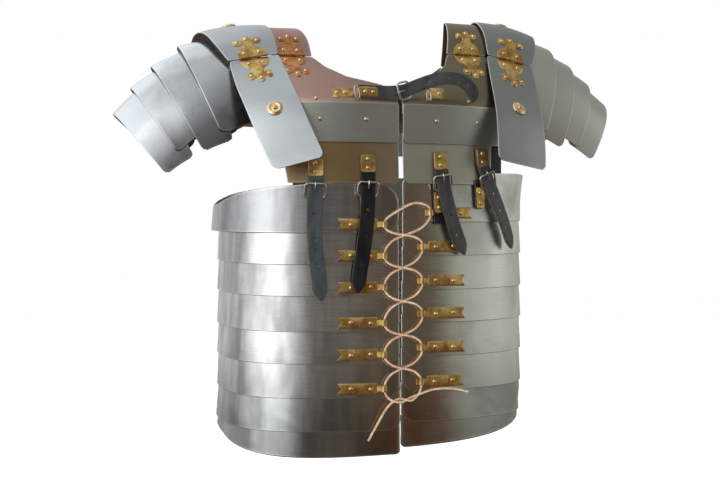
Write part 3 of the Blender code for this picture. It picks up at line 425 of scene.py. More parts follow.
def outward_normal(form: Form, u: float, v: float, core: Place) -> Vector:
    """A form's unit normal.

    Args:
        form: The form.
        u: Its first place.
        v: Its second place.
        core: The point that it points away from.

    Returns:
        The normal.
    """
    step = 1e-3
    u0, u1 = (u - step, u) if u > 0.5 else (u, u + step)
    v0, v1 = (v - step, v) if v > 0.5 else (v, v + step)
    normal = (form(u1, v) - form(u0, v)).cross(form(u, v1) - form(u, v0)).normalized()
    here = form(u, v)
    away = here - Vector((core[0], core[1], min(here.z, core[2])))
    return normal if normal.dot(away) > 0 else -normal


def mirrored(point: Vector, side: Side) -> Vector:
    """A point of a form, on its own side."""
    return Vector((side.sign * point.x, point.y, point.z))


def raised(form: Form, u: float, v: float, core: Place, side: Side, lift: float) -> Vector:
    """The point over a form's (u, v) on its own side.

    Args:
        form: The form.
        u: Its first place.
        v: Its second place.
        core: A point that outwards is away from.
        side: The half of the armour.
        lift: The height over the hand-beaten form.

    Returns:
        The point.
    """
    here = form(u, v)
    return mirrored(here + outward_normal(form, u, v, core) * (lift + unevenness(here)), side)


def unevenness(point: Vector) -> float:
    """How far hand-beaten sheet stands off its form here, in metres: soft swells and dents."""
    broad = noise.noise(Vector((point.x * 11, point.y * 11, point.z * 7)))
    narrow = noise.noise(Vector((point.x * 31 + 9, point.y * 31, point.z * 13)))
    return 0.75 * MM * broad + 0.16 * MM * narrow
# ---------------------------------------------------------------- finishes
Colour = tuple[float, float, float]
Socket = bpy.types.NodeSocket
Material = bpy.types.Material
Piece = bpy.types.Object
LOT_REACH = 9.0             # metres between the first and the last lot's marks


def lot_of(name: str) -> float:
    """A number from 0 to 1 that belongs to a piece's name."""
    return sum(ord(letter) * (k + 3) * (k + 3) for k, letter in enumerate(name)) % 97 / 97


class Nodes:
    """A tree of nodes, added and joined one by one."""

    def __init__(self, tree: bpy.types.NodeTree, place: str) -> None:
        """Starts with the texture coordinates of this name."""
        self.tree = tree
        self.place = self.add("ShaderNodeTexCoord").outputs[place]

    def add(self, kind: str, **settings: object) -> bpy.types.Node:
        """Adds a node.

        Args:
            kind: The node's type.
            settings: The node's own options, by name.

        Returns:
            The node.
        """
        node = self.tree.nodes.new(kind)
        for key, value in settings.items():
            setattr(node, key, value)
        return node

    def join(self, value: object, socket: Socket) -> None:
        """Links a socket's output to an input, or sets the input to a plain value.

        Args:
            value: The output, the number or the colour.
            socket: The input.
        """
        if isinstance(value, bpy.types.NodeSocket):
            self.tree.links.new(value, socket)
        elif isinstance(value, tuple) and len(value) == 3 and socket.type == "RGBA":
            socket.default_value = (*value, 1.0)
        else:
            socket.default_value = value

    def spread(self, value: Socket, low: float, high: float, to_low: float = 0.0,
               to_high: float = 1.0) -> Socket:
        """Stretches a value's range from low..high to to_low..to_high, and holds it there.

        Args:
            value: The value.
            low: Its lower end.
            high: Its upper end.
            to_low: What the lower end becomes.
            to_high: What the upper end becomes.

        Returns:
            The stretched value.
        """
        node = self.add("ShaderNodeMapRange", clamp=True)
        for key, number in (("Value", value), ("From Min", low), ("From Max", high),
                            ("To Min", to_low), ("To Max", to_high)):
            self.join(number, node.inputs[key])
        return node.outputs["Result"]

    def sum(self, first: object, second: object, kind: str = "ADD") -> Socket:
        """Adds two numbers, or joins them in another way.

        Args:
            first: The first number.
            second: The second number.
            kind: The sum's kind.

        Returns:
            The result.
        """
        node = self.add("ShaderNodeMath", operation=kind)
        self.join(first, node.inputs[0])
        self.join(second, node.inputs[1])
        return node.outputs[0]

    def times(self, first: object, second: object) -> Socket:
        """The product of two numbers."""
        return self.sum(first, second, "MULTIPLY")

    def blend(self, share: object, first: object, second: object) -> Socket:
        """Mixes two colours.

        Args:
            share: The share of the second.
            first: The first colour.
            second: The second colour.

        Returns:
            The mixed colour.
        """
        node = self.add("ShaderNodeMix", data_type="RGBA")
        self.join(share, node.inputs["Factor"])
        self.join(first, node.inputs[6])
        self.join(second, node.inputs[7])
        return node.outputs[2]

    def tints(self, value: Socket, stops: Sequence[tuple[float, Colour]]) -> Socket:
        """A colour that changes with a value.

        Args:
            value: The value, from 0 to 1.
            stops: Values and their colours.

        Returns:
            The colour.
        """
        node = self.add("ShaderNodeValToRGB")
        self.join(value, node.inputs["Fac"])
        ramp = node.color_ramp
        while len(ramp.elements) < len(stops):
            ramp.elements.new(0.5)
        for element, (at, colour) in zip(ramp.elements, stops):
            element.position = at
            element.color = (*colour, 1.0)
        return node.outputs["Color"]

    def part_of(self, axis: str) -> Socket:
        """The place's X, Y or Z, in metres."""
        node = self.add("ShaderNodeSeparateXYZ")
        self.join(self.place, node.inputs[0])
        return node.outputs[axis]


class Recipe(Nodes):
    """A material's nodes."""

    def __init__(self, name: str) -> None:
        """Starts a material of this name."""
        self.material = bpy.data.materials.new(name)
        self.material.use_nodes = True
        super().__init__(self.material.node_tree, "Object")
        self.shader = self.tree.nodes["Principled BSDF"]

    def stretched(self, scale: Colour, by_chart: bool = False, moved: bool = False) -> Socket:
        """A place in metres, stretched.

        Args:
            scale: How much each direction is multiplied by.
            by_chart: Whether it follows the piece's own chart of metres along and across it.
            moved: Whether the place is moved by the piece's own lot.

        Returns:
            The stretched place.
        """
        place = self.shuffled() if moved else self.place
        if by_chart:
            place = self.add("ShaderNodeUVMap", uv_map="chart").outputs["UV"]
        node = self.add("ShaderNodeMapping")
        self.join(place, node.inputs["Vector"])
        node.inputs["Scale"].default_value = scale
        return node.outputs["Vector"]

    def grain(self, place: Socket, scale: float, detail: float = 3.0, roughness: float = 0.5,
              twist: float = 0.0) -> Socket:
        """Noise from 0 to 1, about even round a half.

        Args:
            place: Where it is read.
            scale: Its cells in a metre.
            detail: How many finer layers it has.
            roughness: How strong those are.
            twist: How far it is warped.

        Returns:
            The noise.
        """
        node = self.add("ShaderNodeTexNoise")
        for key, value in (("Vector", place), ("Scale", scale), ("Detail", detail),
                           ("Roughness", roughness), ("Distortion", twist)):
            self.join(value, node.inputs[key])
        return node.outputs["Fac"]

    def cells(self, place: Socket, scale: float) -> Socket:
        """The distance to the nearest of many scattered spots."""
        node = self.add("ShaderNodeTexVoronoi")
        self.join(place, node.inputs["Vector"])
        self.join(scale, node.inputs["Scale"])
        return node.outputs["Distance"]

    def painted(self, name: str) -> Socket:
        """A number that the piece carries at each of its points."""
        return self.add("ShaderNodeAttribute", attribute_name=name).outputs["Fac"]

    def shuffled(self) -> Socket:
        """The place, moved by the piece's own lot so that like pieces are marked differently."""
        node = self.add("ShaderNodeVectorMath", operation="ADD")
        self.join(self.place, node.inputs[0])
        self.join(self.times(self.painted("lot"), LOT_REACH), node.inputs[1])
        return node.outputs["Vector"]

    def relief(self, height: Socket, depth: float) -> None:
        """Adds relief over any that is there already.

        Args:
            height: Its height, from 0 to 1.
            depth: How many metres that is.
        """
        node = self.add("ShaderNodeBump")
        node.inputs["Distance"].default_value = depth
        self.join(height, node.inputs["Height"])
        if self.shader.inputs["Normal"].links:
            self.join(self.shader.inputs["Normal"].links[0].from_socket, node.inputs["Normal"])
        self.join(node.outputs["Normal"], self.shader.inputs["Normal"])

    def finish(self, colour: object, roughness: object, **settings: float) -> Material:
        """Sets the shader.

        Args:
            colour: The base colour.
            roughness: The roughness.
            settings: Values that are the same all over, by socket name with _ for a space.

        Returns:
            The material.
        """
        self.join(colour, self.shader.inputs["Base Color"])
        self.join(roughness, self.shader.inputs["Roughness"])
        for key, value in settings.items():
            self.join(value, self.shader.inputs[key.replace("_", " ")])
        return self.material


@dataclass(frozen=True)
class SteelFinish:
    """Polished sheet steel: brush lines, soft clouds of tarnish, a worn edge painted bright as its
    highlight line, and painted reflections and shade where a finish asks for them.
    """

    name: str
    left: Colour                                # towards -X
    # the colour of the tarnish clouds and of the painted shade low down
    tarnish_and_painted_shade: Colour
    middle: Colour | None = None                # where it differs in the middle
    right: Colour | None = None                 # and towards +X
    side_tarnish_and_painted_shade: Colour | None = None          # and the colour of tarnish and painted shade outwards
    low_tarnish: float = 0.0                    # how much painted shade darkens it low down
    low: tuple[float, float] = (-0.47, -0.37)   # where that is full, and none, in metres
    low_lean: float = 0.0                       # how much lower that is for each metre outwards
    painted_reflection_streaks: float = 0.0                        # how dark its painted upright reflection streaks are
    far_dullness: float = 0.0                   # how much rougher it is towards +X
    roughness: float = 0.4
    swell: float = 0.5 * MM                     # the depth of its hammered unevenness
    brush: float = 1.0                          # how strong its brush lines are
    brown_reflection: Colour = (0.42, 0.15, 0.09)           # the painted reddish-brown reflection, in patches low down
    # the colour of the painted upright reflection streaks
    reflection_streak_colour: Colour = (0.13, 0.125, 0.12)
    line: Colour = (0.30, 0.29, 0.27)
    pit: Colour = (0.10, 0.07, 0.05)
    # the colour that the worn edge is painted towards, bright as its highlight line
    edge: Colour = (0.84, 0.84, 0.83)

    def build(self) -> Material:
        """The material of this finish."""
        steel = Recipe(self.name)
        clouds = steel.grain(steel.shuffled(), 8.0, 5.0, 0.6, 0.6)
        steel.relief(steel.grain(steel.shuffled(), 13.0, 1.0), self.swell)
        lines = steel.grain(steel.stretched((14, 900, 1), by_chart=True), 1.0, 4.0, 0.65)
        fine = steel.grain(steel.stretched((60, 2600, 1), by_chart=True), 1.0, 2.0, 0.6)
        pits = steel.spread(steel.cells(steel.stretched((1, 1, 1)), 420), 0.0, 0.16, 1.0, 0.0)
        pits = steel.times(pits, steel.spread(steel.grain(steel.place, 60), 0.52, 0.66))
        edge = steel.painted("rim")
        colour = self.stained(steel, clouds)
        colour = steel.blend(steel.spread(lines, 0.3, 0.7, 0.22 * self.brush, 0.0), colour,
                             self.line)
        colour = steel.blend(steel.times(pits, 0.55), colour, self.pit)
        # the worn edge, painted brighter as the highlight line along the rim
        colour = steel.blend(steel.times(edge, 0.7), colour, self.edge)
        rough = steel.spread(clouds, 0.3, 0.8, self.roughness - 0.05, self.roughness + 0.12)
        rough = steel.sum(rough, steel.spread(lines, 0.3, 0.7, -0.05, 0.06))
        rough = steel.sum(rough, steel.times(edge, -0.1))
        rough = steel.sum(rough, steel.spread(steel.part_of("X"), 0.02, 0.09, 0.0,
                                              self.far_dullness))
        marks = steel.sum(steel.times(lines, 0.6), steel.times(fine, 0.5))
        marks = steel.times(marks, self.brush)
        steel.relief(steel.sum(marks, steel.times(pits, -1.0)), 0.016 * MM)
        return steel.finish(colour, rough, Metallic=1.0)

    def stained(self, steel: Recipe, clouds: Socket) -> Socket:
        """The steel's colour with its tarnish, its painted shade low down, painted upright
        reflection streaks and painted reddish-brown reflection patches.

        Args:
            steel: The recipe.
            clouds: The clouds that the tarnish lies in.

        Returns:
            The colour.
        """
        breadth = steel.spread(steel.part_of("X"), -0.2, 0.2)
        right = self.right or self.left
        colour = steel.tints(breadth, ((0.0, self.left), (0.36, self.left),
                                       (0.52, self.middle or self.left), (0.66, right),
                                       (1.0, right)))
        # painted shade low down: on the guards it stands for shade, on the girdle for the dark
        # ground's reflection
        out = steel.times(steel.part_of("X"), -self.low_lean)
        height = steel.spread(steel.sum(steel.part_of("Z"), out), *self.low, self.low_tarnish,
                              0.0)
        tarnish_and_painted_shade = self.tarnish_and_painted_shade
        if self.side_tarnish_and_painted_shade:
            tarnish_and_painted_shade = steel.tints(breadth, (
                (0.34, self.side_tarnish_and_painted_shade), (0.46, self.tarnish_and_painted_shade), (0.62, self.tarnish_and_painted_shade),
                (0.72, self.side_tarnish_and_painted_shade)))
        tarnish_and_shade_share = steel.sum(steel.spread(clouds, 0.48, 0.75, 0.0, 0.6), height)
        colour = steel.blend(tarnish_and_shade_share, colour, tarnish_and_painted_shade)
        if not self.painted_reflection_streaks:
            return colour
        # painted reflections: upright bands, like surroundings mirrored in curved sheet
        reflection_bands = steel.grain(steel.stretched((1, 1, 0.16), moved=True), 34.0, 3.0, 0.55)
        # painted reddish-brown reflection, in upright patches low down near the middle
        brown_reflection_patches = steel.times(steel.spread(reflection_bands, 0.36, 0.46, 0.7, 0.0), height)
        for outer, inner in ((-0.09, -0.03), (0.09, 0.05)):
            brown_reflection_patches = steel.times(brown_reflection_patches, steel.spread(steel.part_of("X"), outer, inner))
        # the painted reflection streaks are strongest towards -X
        near = steel.spread(steel.part_of("X"), -0.02, 0.07, self.painted_reflection_streaks, 0.1 * self.painted_reflection_streaks)
        colour = steel.blend(brown_reflection_patches, colour, self.brown_reflection)
        return steel.blend(steel.times(steel.spread(reflection_bands, 0.44, 0.66), near), colour,
                           self.reflection_streak_colour)


@dataclass(frozen=True)
class BrassFinish:
    """Sheet brass gone brown in its hollows and bright where it is rubbed."""

    name: str
    bright: Colour = (1.0, 0.70, 0.26)
    dull: Colour = (0.50, 0.26, 0.07)
    roughness: float = 0.36

    def build(self) -> Material:
        """The material of this finish."""
        brass = Recipe(self.name)
        clouds = brass.grain(brass.place, 75, 5.0, 0.65, 0.4)
        specks = brass.spread(brass.grain(brass.place, 900, 3.0), 0.58, 0.7)
        brush = brass.grain(brass.stretched((400, 400, 1600)), 1.0, 3.0)
        colour = brass.blend(brass.spread(clouds, 0.38, 0.60), self.dull, self.bright)
        colour = brass.blend(brass.times(specks, 0.5), colour, (0.12, 0.07, 0.03))
        colour = brass.blend(brass.times(brass.painted("rim"), 0.6), colour, (0.86, 0.66, 0.33))
        rough = brass.spread(clouds, 0.3, 0.7, self.roughness + 0.14, self.roughness - 0.06)
        brass.relief(brass.sum(brush, clouds), 0.05 * MM)
        return brass.finish(colour, rough, Metallic=1.0)


@dataclass(frozen=True)
class NickelFinish:
    """Nickel plate on cast buckles, a little scuffed."""

    name: str
    colour: Colour = (0.74, 0.72, 0.68)

    def build(self) -> Material:
        """The material of this finish."""
        nickel = Recipe(self.name)
        scuffs = nickel.grain(nickel.place, 700, 4.0, 0.6)
        clouds = nickel.grain(nickel.place, 160, 3.0)
        colour = nickel.blend(nickel.spread(clouds, 0.45, 0.7, 0.0, 0.5), self.colour,
                              (0.45, 0.40, 0.33))
        nickel.relief(scuffs, 0.02 * MM)
        return nickel.finish(colour, nickel.spread(scuffs, 0.3, 0.7, 0.14, 0.3), Metallic=1.0)


@dataclass(frozen=True)
class HideFinish:
    """Waxed black strap leather: pebbled grain, creases and a paler raw edge."""

    name: str
    colour: Colour = (0.004, 0.004, 0.005)
    # the colour of worn patches and creases; in the lighter hides it is a painted sheen
    worn_and_sheen: Colour = (0.014, 0.014, 0.016)
    cut_edge: Colour = (0.095, 0.062, 0.042)
    wax: float = 0.08
    shine: float = 0.3

    def build(self) -> Material:
        """The material of this finish."""
        hide = Recipe(self.name)
        pebbles = hide.cells(hide.place, 1300)
        creases = hide.grain(hide.stretched((300, 2200, 1), by_chart=True), 1.0, 4.0, 0.6)
        clouds = hide.grain(hide.stretched((60, 60, 25)), 1.0, 4.0, 0.6)
        colour = hide.blend(hide.spread(clouds, 0.35, 0.80), self.colour, self.worn_and_sheen)
        colour = hide.blend(hide.spread(creases, 0.56, 0.74, 0.0, 0.5), colour, self.worn_and_sheen)
        colour = hide.blend(hide.painted("rim"), colour, self.cut_edge)
        rough = hide.spread(clouds, 0.3, 0.7, 0.38, 0.50)
        hide.relief(hide.sum(pebbles, hide.times(creases, 0.8)), 0.12 * MM)
        return hide.finish(colour, rough, Coat_Weight=self.wax, Coat_Roughness=0.3,
                           Specular_IOR_Level=self.shine)


@dataclass(frozen=True)
class ThongFinish:
    """Raw tan leather thong: fibres along it, a smooth side and scuffed patches."""

    name: str
    colour: Colour = (0.70, 0.42, 0.25)
    pale: Colour = (0.92, 0.68, 0.47)
    dark: Colour = (0.26, 0.12, 0.06)

    def build(self) -> Material:
        """The material of this finish."""
        thong = Recipe(self.name)
        clouds = thong.grain(thong.place, 130, 4.0, 0.6)
        fibres = thong.grain(thong.stretched((900, 900, 500)), 1.0, 4.0, 0.7, 0.8)
        colour = thong.blend(thong.spread(clouds, 0.38, 0.64), self.colour, self.pale)
        colour = thong.blend(thong.spread(fibres, 0.50, 0.70, 0.0, 0.85), colour, self.dark)
        thong.relief(thong.sum(fibres, clouds), 0.25 * MM)
        return thong.finish(colour, thong.spread(fibres, 0.3, 0.7, 0.42, 0.66),
                            Sheen_Weight=0.1)


class Finishes:
    """Every finish of the armour, built once."""

    def __init__(self) -> None:
        """Builds the materials."""
        # The girdle's brown middle and brown tarnish are a painted reflection of the warm room in
        # front; its upright streaks and darkening low down are painted reflections too.
        girdle_with_painted_reflections = SteelFinish(
            "girdle steel with painted reflections", left=(0.94, 0.96, 0.95), middle=(0.72, 0.62, 0.52),
            right=(0.90, 0.93, 0.87), tarnish_and_painted_shade=(0.36, 0.21, 0.13),
            side_tarnish_and_painted_shade=(0.26, 0.30, 0.30), low_tarnish=0.65, painted_reflection_streaks=0.5, far_dullness=0.13,
            roughness=0.19)
        self.girdle = girdle_with_painted_reflections.build()
        self.top_hoop = replace(girdle_with_painted_reflections, name="streaked top hoop steel",
                                left=(0.60, 0.62, 0.64)).build()
        self.breast = {
            Side.RIGHT: SteelFinish(
                "rosy breast steel", left=(0.60, 0.37, 0.31), middle=(0.42, 0.27, 0.22),
                tarnish_and_painted_shade=(0.26, 0.11, 0.08)).build(),
            Side.LEFT: SteelFinish(
                "grey breast steel", left=(0.40, 0.34, 0.23), middle=(0.34, 0.29, 0.19),
                right=(0.27, 0.23, 0.14), tarnish_and_painted_shade=(0.26, 0.20, 0.12), roughness=0.38).build(),
        }
        self.band = SteelFinish(
            "greened band steel", left=(0.58, 0.62, 0.58), middle=(0.60, 0.64, 0.60),
            tarnish_and_painted_shade=(0.40, 0.39, 0.34), roughness=0.42).build()
        self.low = {
            Side.RIGHT: SteelFinish(
                "browned low steel", left=(0.44, 0.29, 0.14), middle=(0.55, 0.44, 0.33),
                tarnish_and_painted_shade=(0.32, 0.22, 0.13), roughness=0.42).build(),
            Side.LEFT: SteelFinish(
                "greyed low steel", left=(0.68, 0.69, 0.60), tarnish_and_painted_shade=(0.46, 0.42, 0.33),
                roughness=0.42).build(),
        }
        self.guard = {
            # the right guard's lesser plates are painted darker at their lower ends, as shade
            Side.RIGHT: SteelFinish(
                "blue-white guard steel", left=(0.80, 0.83, 0.86), tarnish_and_painted_shade=(0.17, 0.175, 0.18),
                low_tarnish=0.75, low=(0.06, 0.115), low_lean=0.85, roughness=0.21, brush=0.4,
                swell=0.8 * MM).build(),
            Side.LEFT: SteelFinish(
                "grey guard steel", left=(0.66, 0.66, 0.60), tarnish_and_painted_shade=(0.54, 0.52, 0.47),
                brush=0.5).build(),
        }
        self.leaf = {
            Side.RIGHT: SteelFinish("dulled leaf steel", left=(0.66, 0.70, 0.73),
                                    tarnish_and_painted_shade=(0.42, 0.41, 0.40), roughness=0.34).build(),
            Side.LEFT: SteelFinish("dark leaf steel", left=(0.42, 0.44, 0.43),
                                   tarnish_and_painted_shade=(0.30, 0.29, 0.27), roughness=0.36).build(),
        }
        copper = BrassFinish("rubbed red brass", bright=(0.92, 0.42, 0.17),
                             dull=(0.48, 0.19, 0.07)).build()
        self.rivet = BrassFinish("brass rivet heads", bright=(1.0, 0.84, 0.52),
                                 dull=(0.86, 0.64, 0.32), roughness=0.24).build()
        self.riveted = [BrassFinish("aged sheet brass").build(), self.rivet]
        self.riveted_copper = [copper, self.rivet]
        self.nickel = NickelFinish("scuffed nickel").build()
        self.hides = {
            StrapSheen.WAXED: HideFinish("waxed black hide").build(),
            # the lighter hides are the same black leather, painted paler as a sheen where straps
            # catch light
            StrapSheen.RUBBED: HideFinish("black hide with painted blue sheen", colour=(0.026, 0.032, 0.036),
                                    worn_and_sheen=(0.072, 0.088, 0.098), wax=0.25, shine=0.5).build(),
            StrapSheen.GREYED: HideFinish("black hide with painted grey sheen", colour=(0.022, 0.023, 0.024),
                                    worn_and_sheen=(0.066, 0.068, 0.066), wax=0.2, shine=0.5).build(),
        }
        self.thong = ThongFinish("raw tan thong").build()


# ---------------------------------------------------------------- gathering a piece's mesh
@dataclass
class Shape:
    """The points and faces gathered for one piece."""

    points: list[Vector] = field(default_factory=list)
    chart: list[Spot] = field(default_factory=list)
    rim: list[float] = field(default_factory=list)
    faces: list[tuple[int, ...]] = field(default_factory=list)
    coats: list[int] = field(default_factory=list)
    coat: int = 0               # which of the piece's finishes new faces take

    def point(self, place: Vector, chart: Spot = (0.0, 0.0), rim: float = 0.0) -> int:
        """Adds a point.

        Args:
            place: Where it is.
            chart: Metres along and across the piece.
            rim: How near a worn edge it is, from 0 to 1; on steel that edge is painted bright as a
                highlight line.

        Returns:
            Its number.
        """
        self.points.append(place)
        self.chart.append(chart)
        self.rim.append(rim)
        return len(self.points) - 1

    def face(self, *corners: int) -> None:
        """Adds a face."""
        self.faces.append(corners)
        self.coats.append(self.coat)

    def bridge(self, first: Sequence[int], second: Sequence[int], closed: bool = True) -> None:
        """Joins two rows of as many points with faces."""
        count = len(first)
        for i in range(count if closed else count - 1):
            k = (i + 1) % count
            self.face(first[i], first[k], second[k], second[i])

    def lathe(self, middle: Vector, axis: Vector, profile: Sequence[Spot],
              sides: int = 14, rim: float = 0.0) -> None:
        """Adds a turned shape.

        Args:
            middle: Where height 0 is on the axis.
            axis: The direction of the heights.
            profile: (radius, height) from one end to the other; a radius of 0 closes an end.
            sides: How many sides it has.
            rim: How worn it is.
        """
        turn = axis.normalized().to_track_quat("Z", "X").to_matrix()
        rings: list[list[int]] = []
        for radius, height in profile:
            if radius == 0.0:
                rings.append([self.point(middle + turn @ Vector((0, 0, height)), rim=rim)])
                continue
            rings.append([self.point(middle + turn @ Vector(
                (radius * math.cos(math.tau * i / sides), radius * math.sin(math.tau * i / sides),
                 height)), rim=rim) for i in range(sides)])
        for near, far in zip(rings, rings[1:]):
            if len(near) == 1 or len(far) == 1:
                tip, ring = (near[0], far) if len(near) == 1 else (far[0], near)
                for i in range(sides):
                    self.face(tip, ring[i], ring[(i + 1) % sides])
            else:
                self.bridge(near, far)

    def wire(self, route: Sequence[Vector], radius: float, closed: bool = False,
             sides: int = 10, flat: float = 1.0, outward: Vector | None = None) -> None:
        """Adds a bent wire.

        Args:
            route: The points of its middle.
            radius: Its radius.
            closed: Whether it is a ring.
            sides: How many sides it has.
            flat: How thick it is along outward, as a share of its breadth.
            outward: The direction that stays the flat one.
        """
        count = len(route)
        rings = []
        guide = outward or UP
        for i, here in enumerate(route):
            after = route[(i + 1) % count] if closed else route[min(i + 1, count - 1)]
            before = route[i - 1] if closed or i else route[0]
            along = (after - before).normalized()
            across = along.cross(guide).normalized()
            lift = across.cross(along)
            rings.append([self.point(here + (across * math.cos(math.tau * j / sides)
                                             + lift * math.sin(math.tau * j / sides) * flat)
                                     * radius) for j in range(sides)])
        for i in range(count if closed else count - 1):
            self.bridge(rings[i], rings[(i + 1) % count])
        if not closed:
            self.faces += [tuple(rings[0]), tuple(rings[-1])]
            self.coats += [self.coat] * 2

    def cutout(self, outline: Loop, placer: Placer, low: float,
               high: float, holes: Sequence[Loop] = (),
               pitch: float = 4 * MM, edge: float = 0.22 * MM, edge_rim: float = 0.8,
               back: bool = False) -> None:
        """Adds sheet cut to an outline and laid on something.

        Args:
            outline: The cut's corners in metres, in order.
            placer: Gives the point over a place of the flat sheet at a height.
            low: The height of its underside.
            high: The height of its face.
            holes: The outlines of the holes punched in it.
            pitch: The distance between the points inside it.
            edge: How much its face's edge is softened.
            edge_rim: How worn that edge is.
            back: Whether its underside is there too.
        """
        loops = [tidy_loop(outline, True), *(tidy_loop(hole, False) for hole in holes)]
        inset = [draw_in(loop, edge) for loop in loops]
        under = self.filled(loops, placer, low, pitch, edge_rim) if back else []
        numbers = self.filled(inset, placer, high, pitch)
        self.rims(loops, numbers, under, placer, (low, high - edge), edge_rim)

    def filled(self, loops: Sequence[Loop], placer: Placer,
               height: float, pitch: float, edge_rim: float = 0.0) -> list[int]:
        """Adds a sheet's face or its underside.

        Args:
            loops: Its outline and its holes.
            placer: As for the cut-out.
            height: Its height.
            pitch: The distance between the points inside it.
            edge_rim: How worn its border is.

        Returns:
            The numbers of its points, the border's first.
        """
        places, triangles = fill_loops(loops, pitch)
        border = sum(len(loop) for loop in loops)
        numbers = [self.point(placer(x, y, height), (x, y), edge_rim if i < border else 0.0)
                   for i, (x, y) in enumerate(places)]
        for triangle in triangles:
            self.face(*(numbers[i] for i in triangle))
        return numbers

    def rims(self, loops: Sequence[Loop], numbers: Sequence[int], under: Sequence[int],
             placer: Placer, heights: Spot, edge_rim: float) -> None:
        """Adds a cut-out's edges, from its face's border down to its underside.

        Args:
            loops: The sheet's full loops.
            numbers: The numbers of the face's points, the border's first.
            under: The numbers of the underside's points, if it is there.
            placer: As for the cut-out.
            heights: The heights of the underside and of the softened edge's foot.
            edge_rim: How worn the edge is.
        """
        low, shoulder = heights
        done = 0
        for loop in loops:
            top = numbers[done:done + len(loop)]
            lower = under[done:done + len(loop)]
            done += len(loop)
            upper = [self.point(placer(x, y, shoulder), (x, y), edge_rim) for x, y in loop]
            lower = lower or [self.point(placer(x, y, low), (x, y), edge_rim) for x, y in loop]
            self.bridge(top, upper)
            self.bridge(upper, lower)

    def make(self, name: str, finishes: Sequence[Material], slot: Slot, body: str = ROOT,
             stands_for: Sequence[str] = (), sharp: float = 42.0) -> Piece:
        """Makes the piece and fixes it to its body.

        Args:
            name: The piece's name.
            finishes: Its materials, in the order of the coats.
            slot: The record's material slot; not used.
            body: The body that it rides on.
            stands_for: The CAD nodes that it replaces.
            sharp: Degrees from which an edge is shaded as a crease.

        Returns:
            The piece.
        """
        mesh = bpy.data.meshes.new(name)
        mesh.from_pydata([tuple(point) for point in self.points], [], self.faces)
        mesh.polygons.foreach_set("material_index", self.coats)
        for finish in finishes:
            mesh.materials.append(finish)
        layer = mesh.uv_layers.new(name="chart")
        corners = np.empty(len(mesh.loops), np.int32)
        mesh.loops.foreach_get("vertex_index", corners)
        layer.data.foreach_set("uv", np.array(self.chart, np.float32)[corners].ravel())
        for mark, values in (("rim", self.rim), ("lot", [lot_of(name)] * len(self.points))):
            mesh.attributes.new(mark, "FLOAT", "POINT").data.foreach_set("value", values)
        maker = bmesh.new()
        maker.from_mesh(mesh)
        bmesh.ops.recalc_face_normals(maker, faces=maker.faces)
        maker.to_mesh(mesh)
        maker.free()
        mesh.shade_smooth()
        mesh.set_sharp_from_angle(angle=math.radians(sharp))
        piece = bpy.data.objects.new(name, mesh)
        bpy.context.scene.collection.objects.link(piece)
        return fixed(piece, slot, body, stands_for)


def fixed(piece: Piece, slot: Slot, body: str, stands_for: Sequence[str]) -> Piece:
    """Fixes a piece to its body and hides the CAD nodes that it replaces."""
    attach(piece, body)
    if stands_for:
        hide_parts(*stands_for)
    LOG.info("%s rides on %s", piece.name, body)
    return piece


DOUBLED = 1e-5              # metres between two points of a loop that are one
SAME = 1e-7                 # and between two points of a filled sheet that are one
CLEARANCE = 0.35            # the least distance of an inner point from the border, in pitches


def loop_area(loop: Loop) -> float:
    """A loop's area, positive if it runs anticlockwise."""
    return sum(a[0] * b[1] - b[0] * a[1] for a, b in zip(loop, [*loop[1:], loop[0]])) / 2


def tidy_loop(loop: Loop, anticlockwise: bool) -> Loop:
    """A loop without doubled points, run the way that is asked for."""
    kept = [p for p, q in zip(loop, [loop[-1], *loop]) if math.dist(p, q) > DOUBLED]
    return kept if (loop_area(kept) > 0) == anticlockwise else kept[::-1]


def draw_in(loop: Loop, by: float) -> Loop:
    """A loop drawn in from its sheet's edge: an anticlockwise one shrinks, another one grows.

    Args:
        loop: The loop.
        by: How far it is drawn in.

    Returns:
        The drawn loop.
    """
    drawn = []
    for i, here in enumerate(loop):
        before, after = Vector(loop[i - 1]), Vector(loop[(i + 1) % len(loop)])
        first = (Vector(here) - before).normalized()
        second = (after - Vector(here)).normalized()
        inward = Vector((-first.y, first.x)) + Vector((-second.y, second.x))
        inward = inward / max(inward.dot(inward) / 2, 0.6)
        drawn.append((here[0] + inward.x * by, here[1] + inward.y * by))
    return drawn


def inside(point: Sequence[float], loop: Loop) -> bool:
    """Whether a point is inside a loop."""
    x, y = point[0], point[1]
    found = False
    for (ax, ay), (bx, by) in zip(loop, [*loop[1:], loop[0]]):
        if (ay > y) != (by > y) and x < ax + (bx - ax) * (y - ay) / (by - ay):
            found = not found
    return found


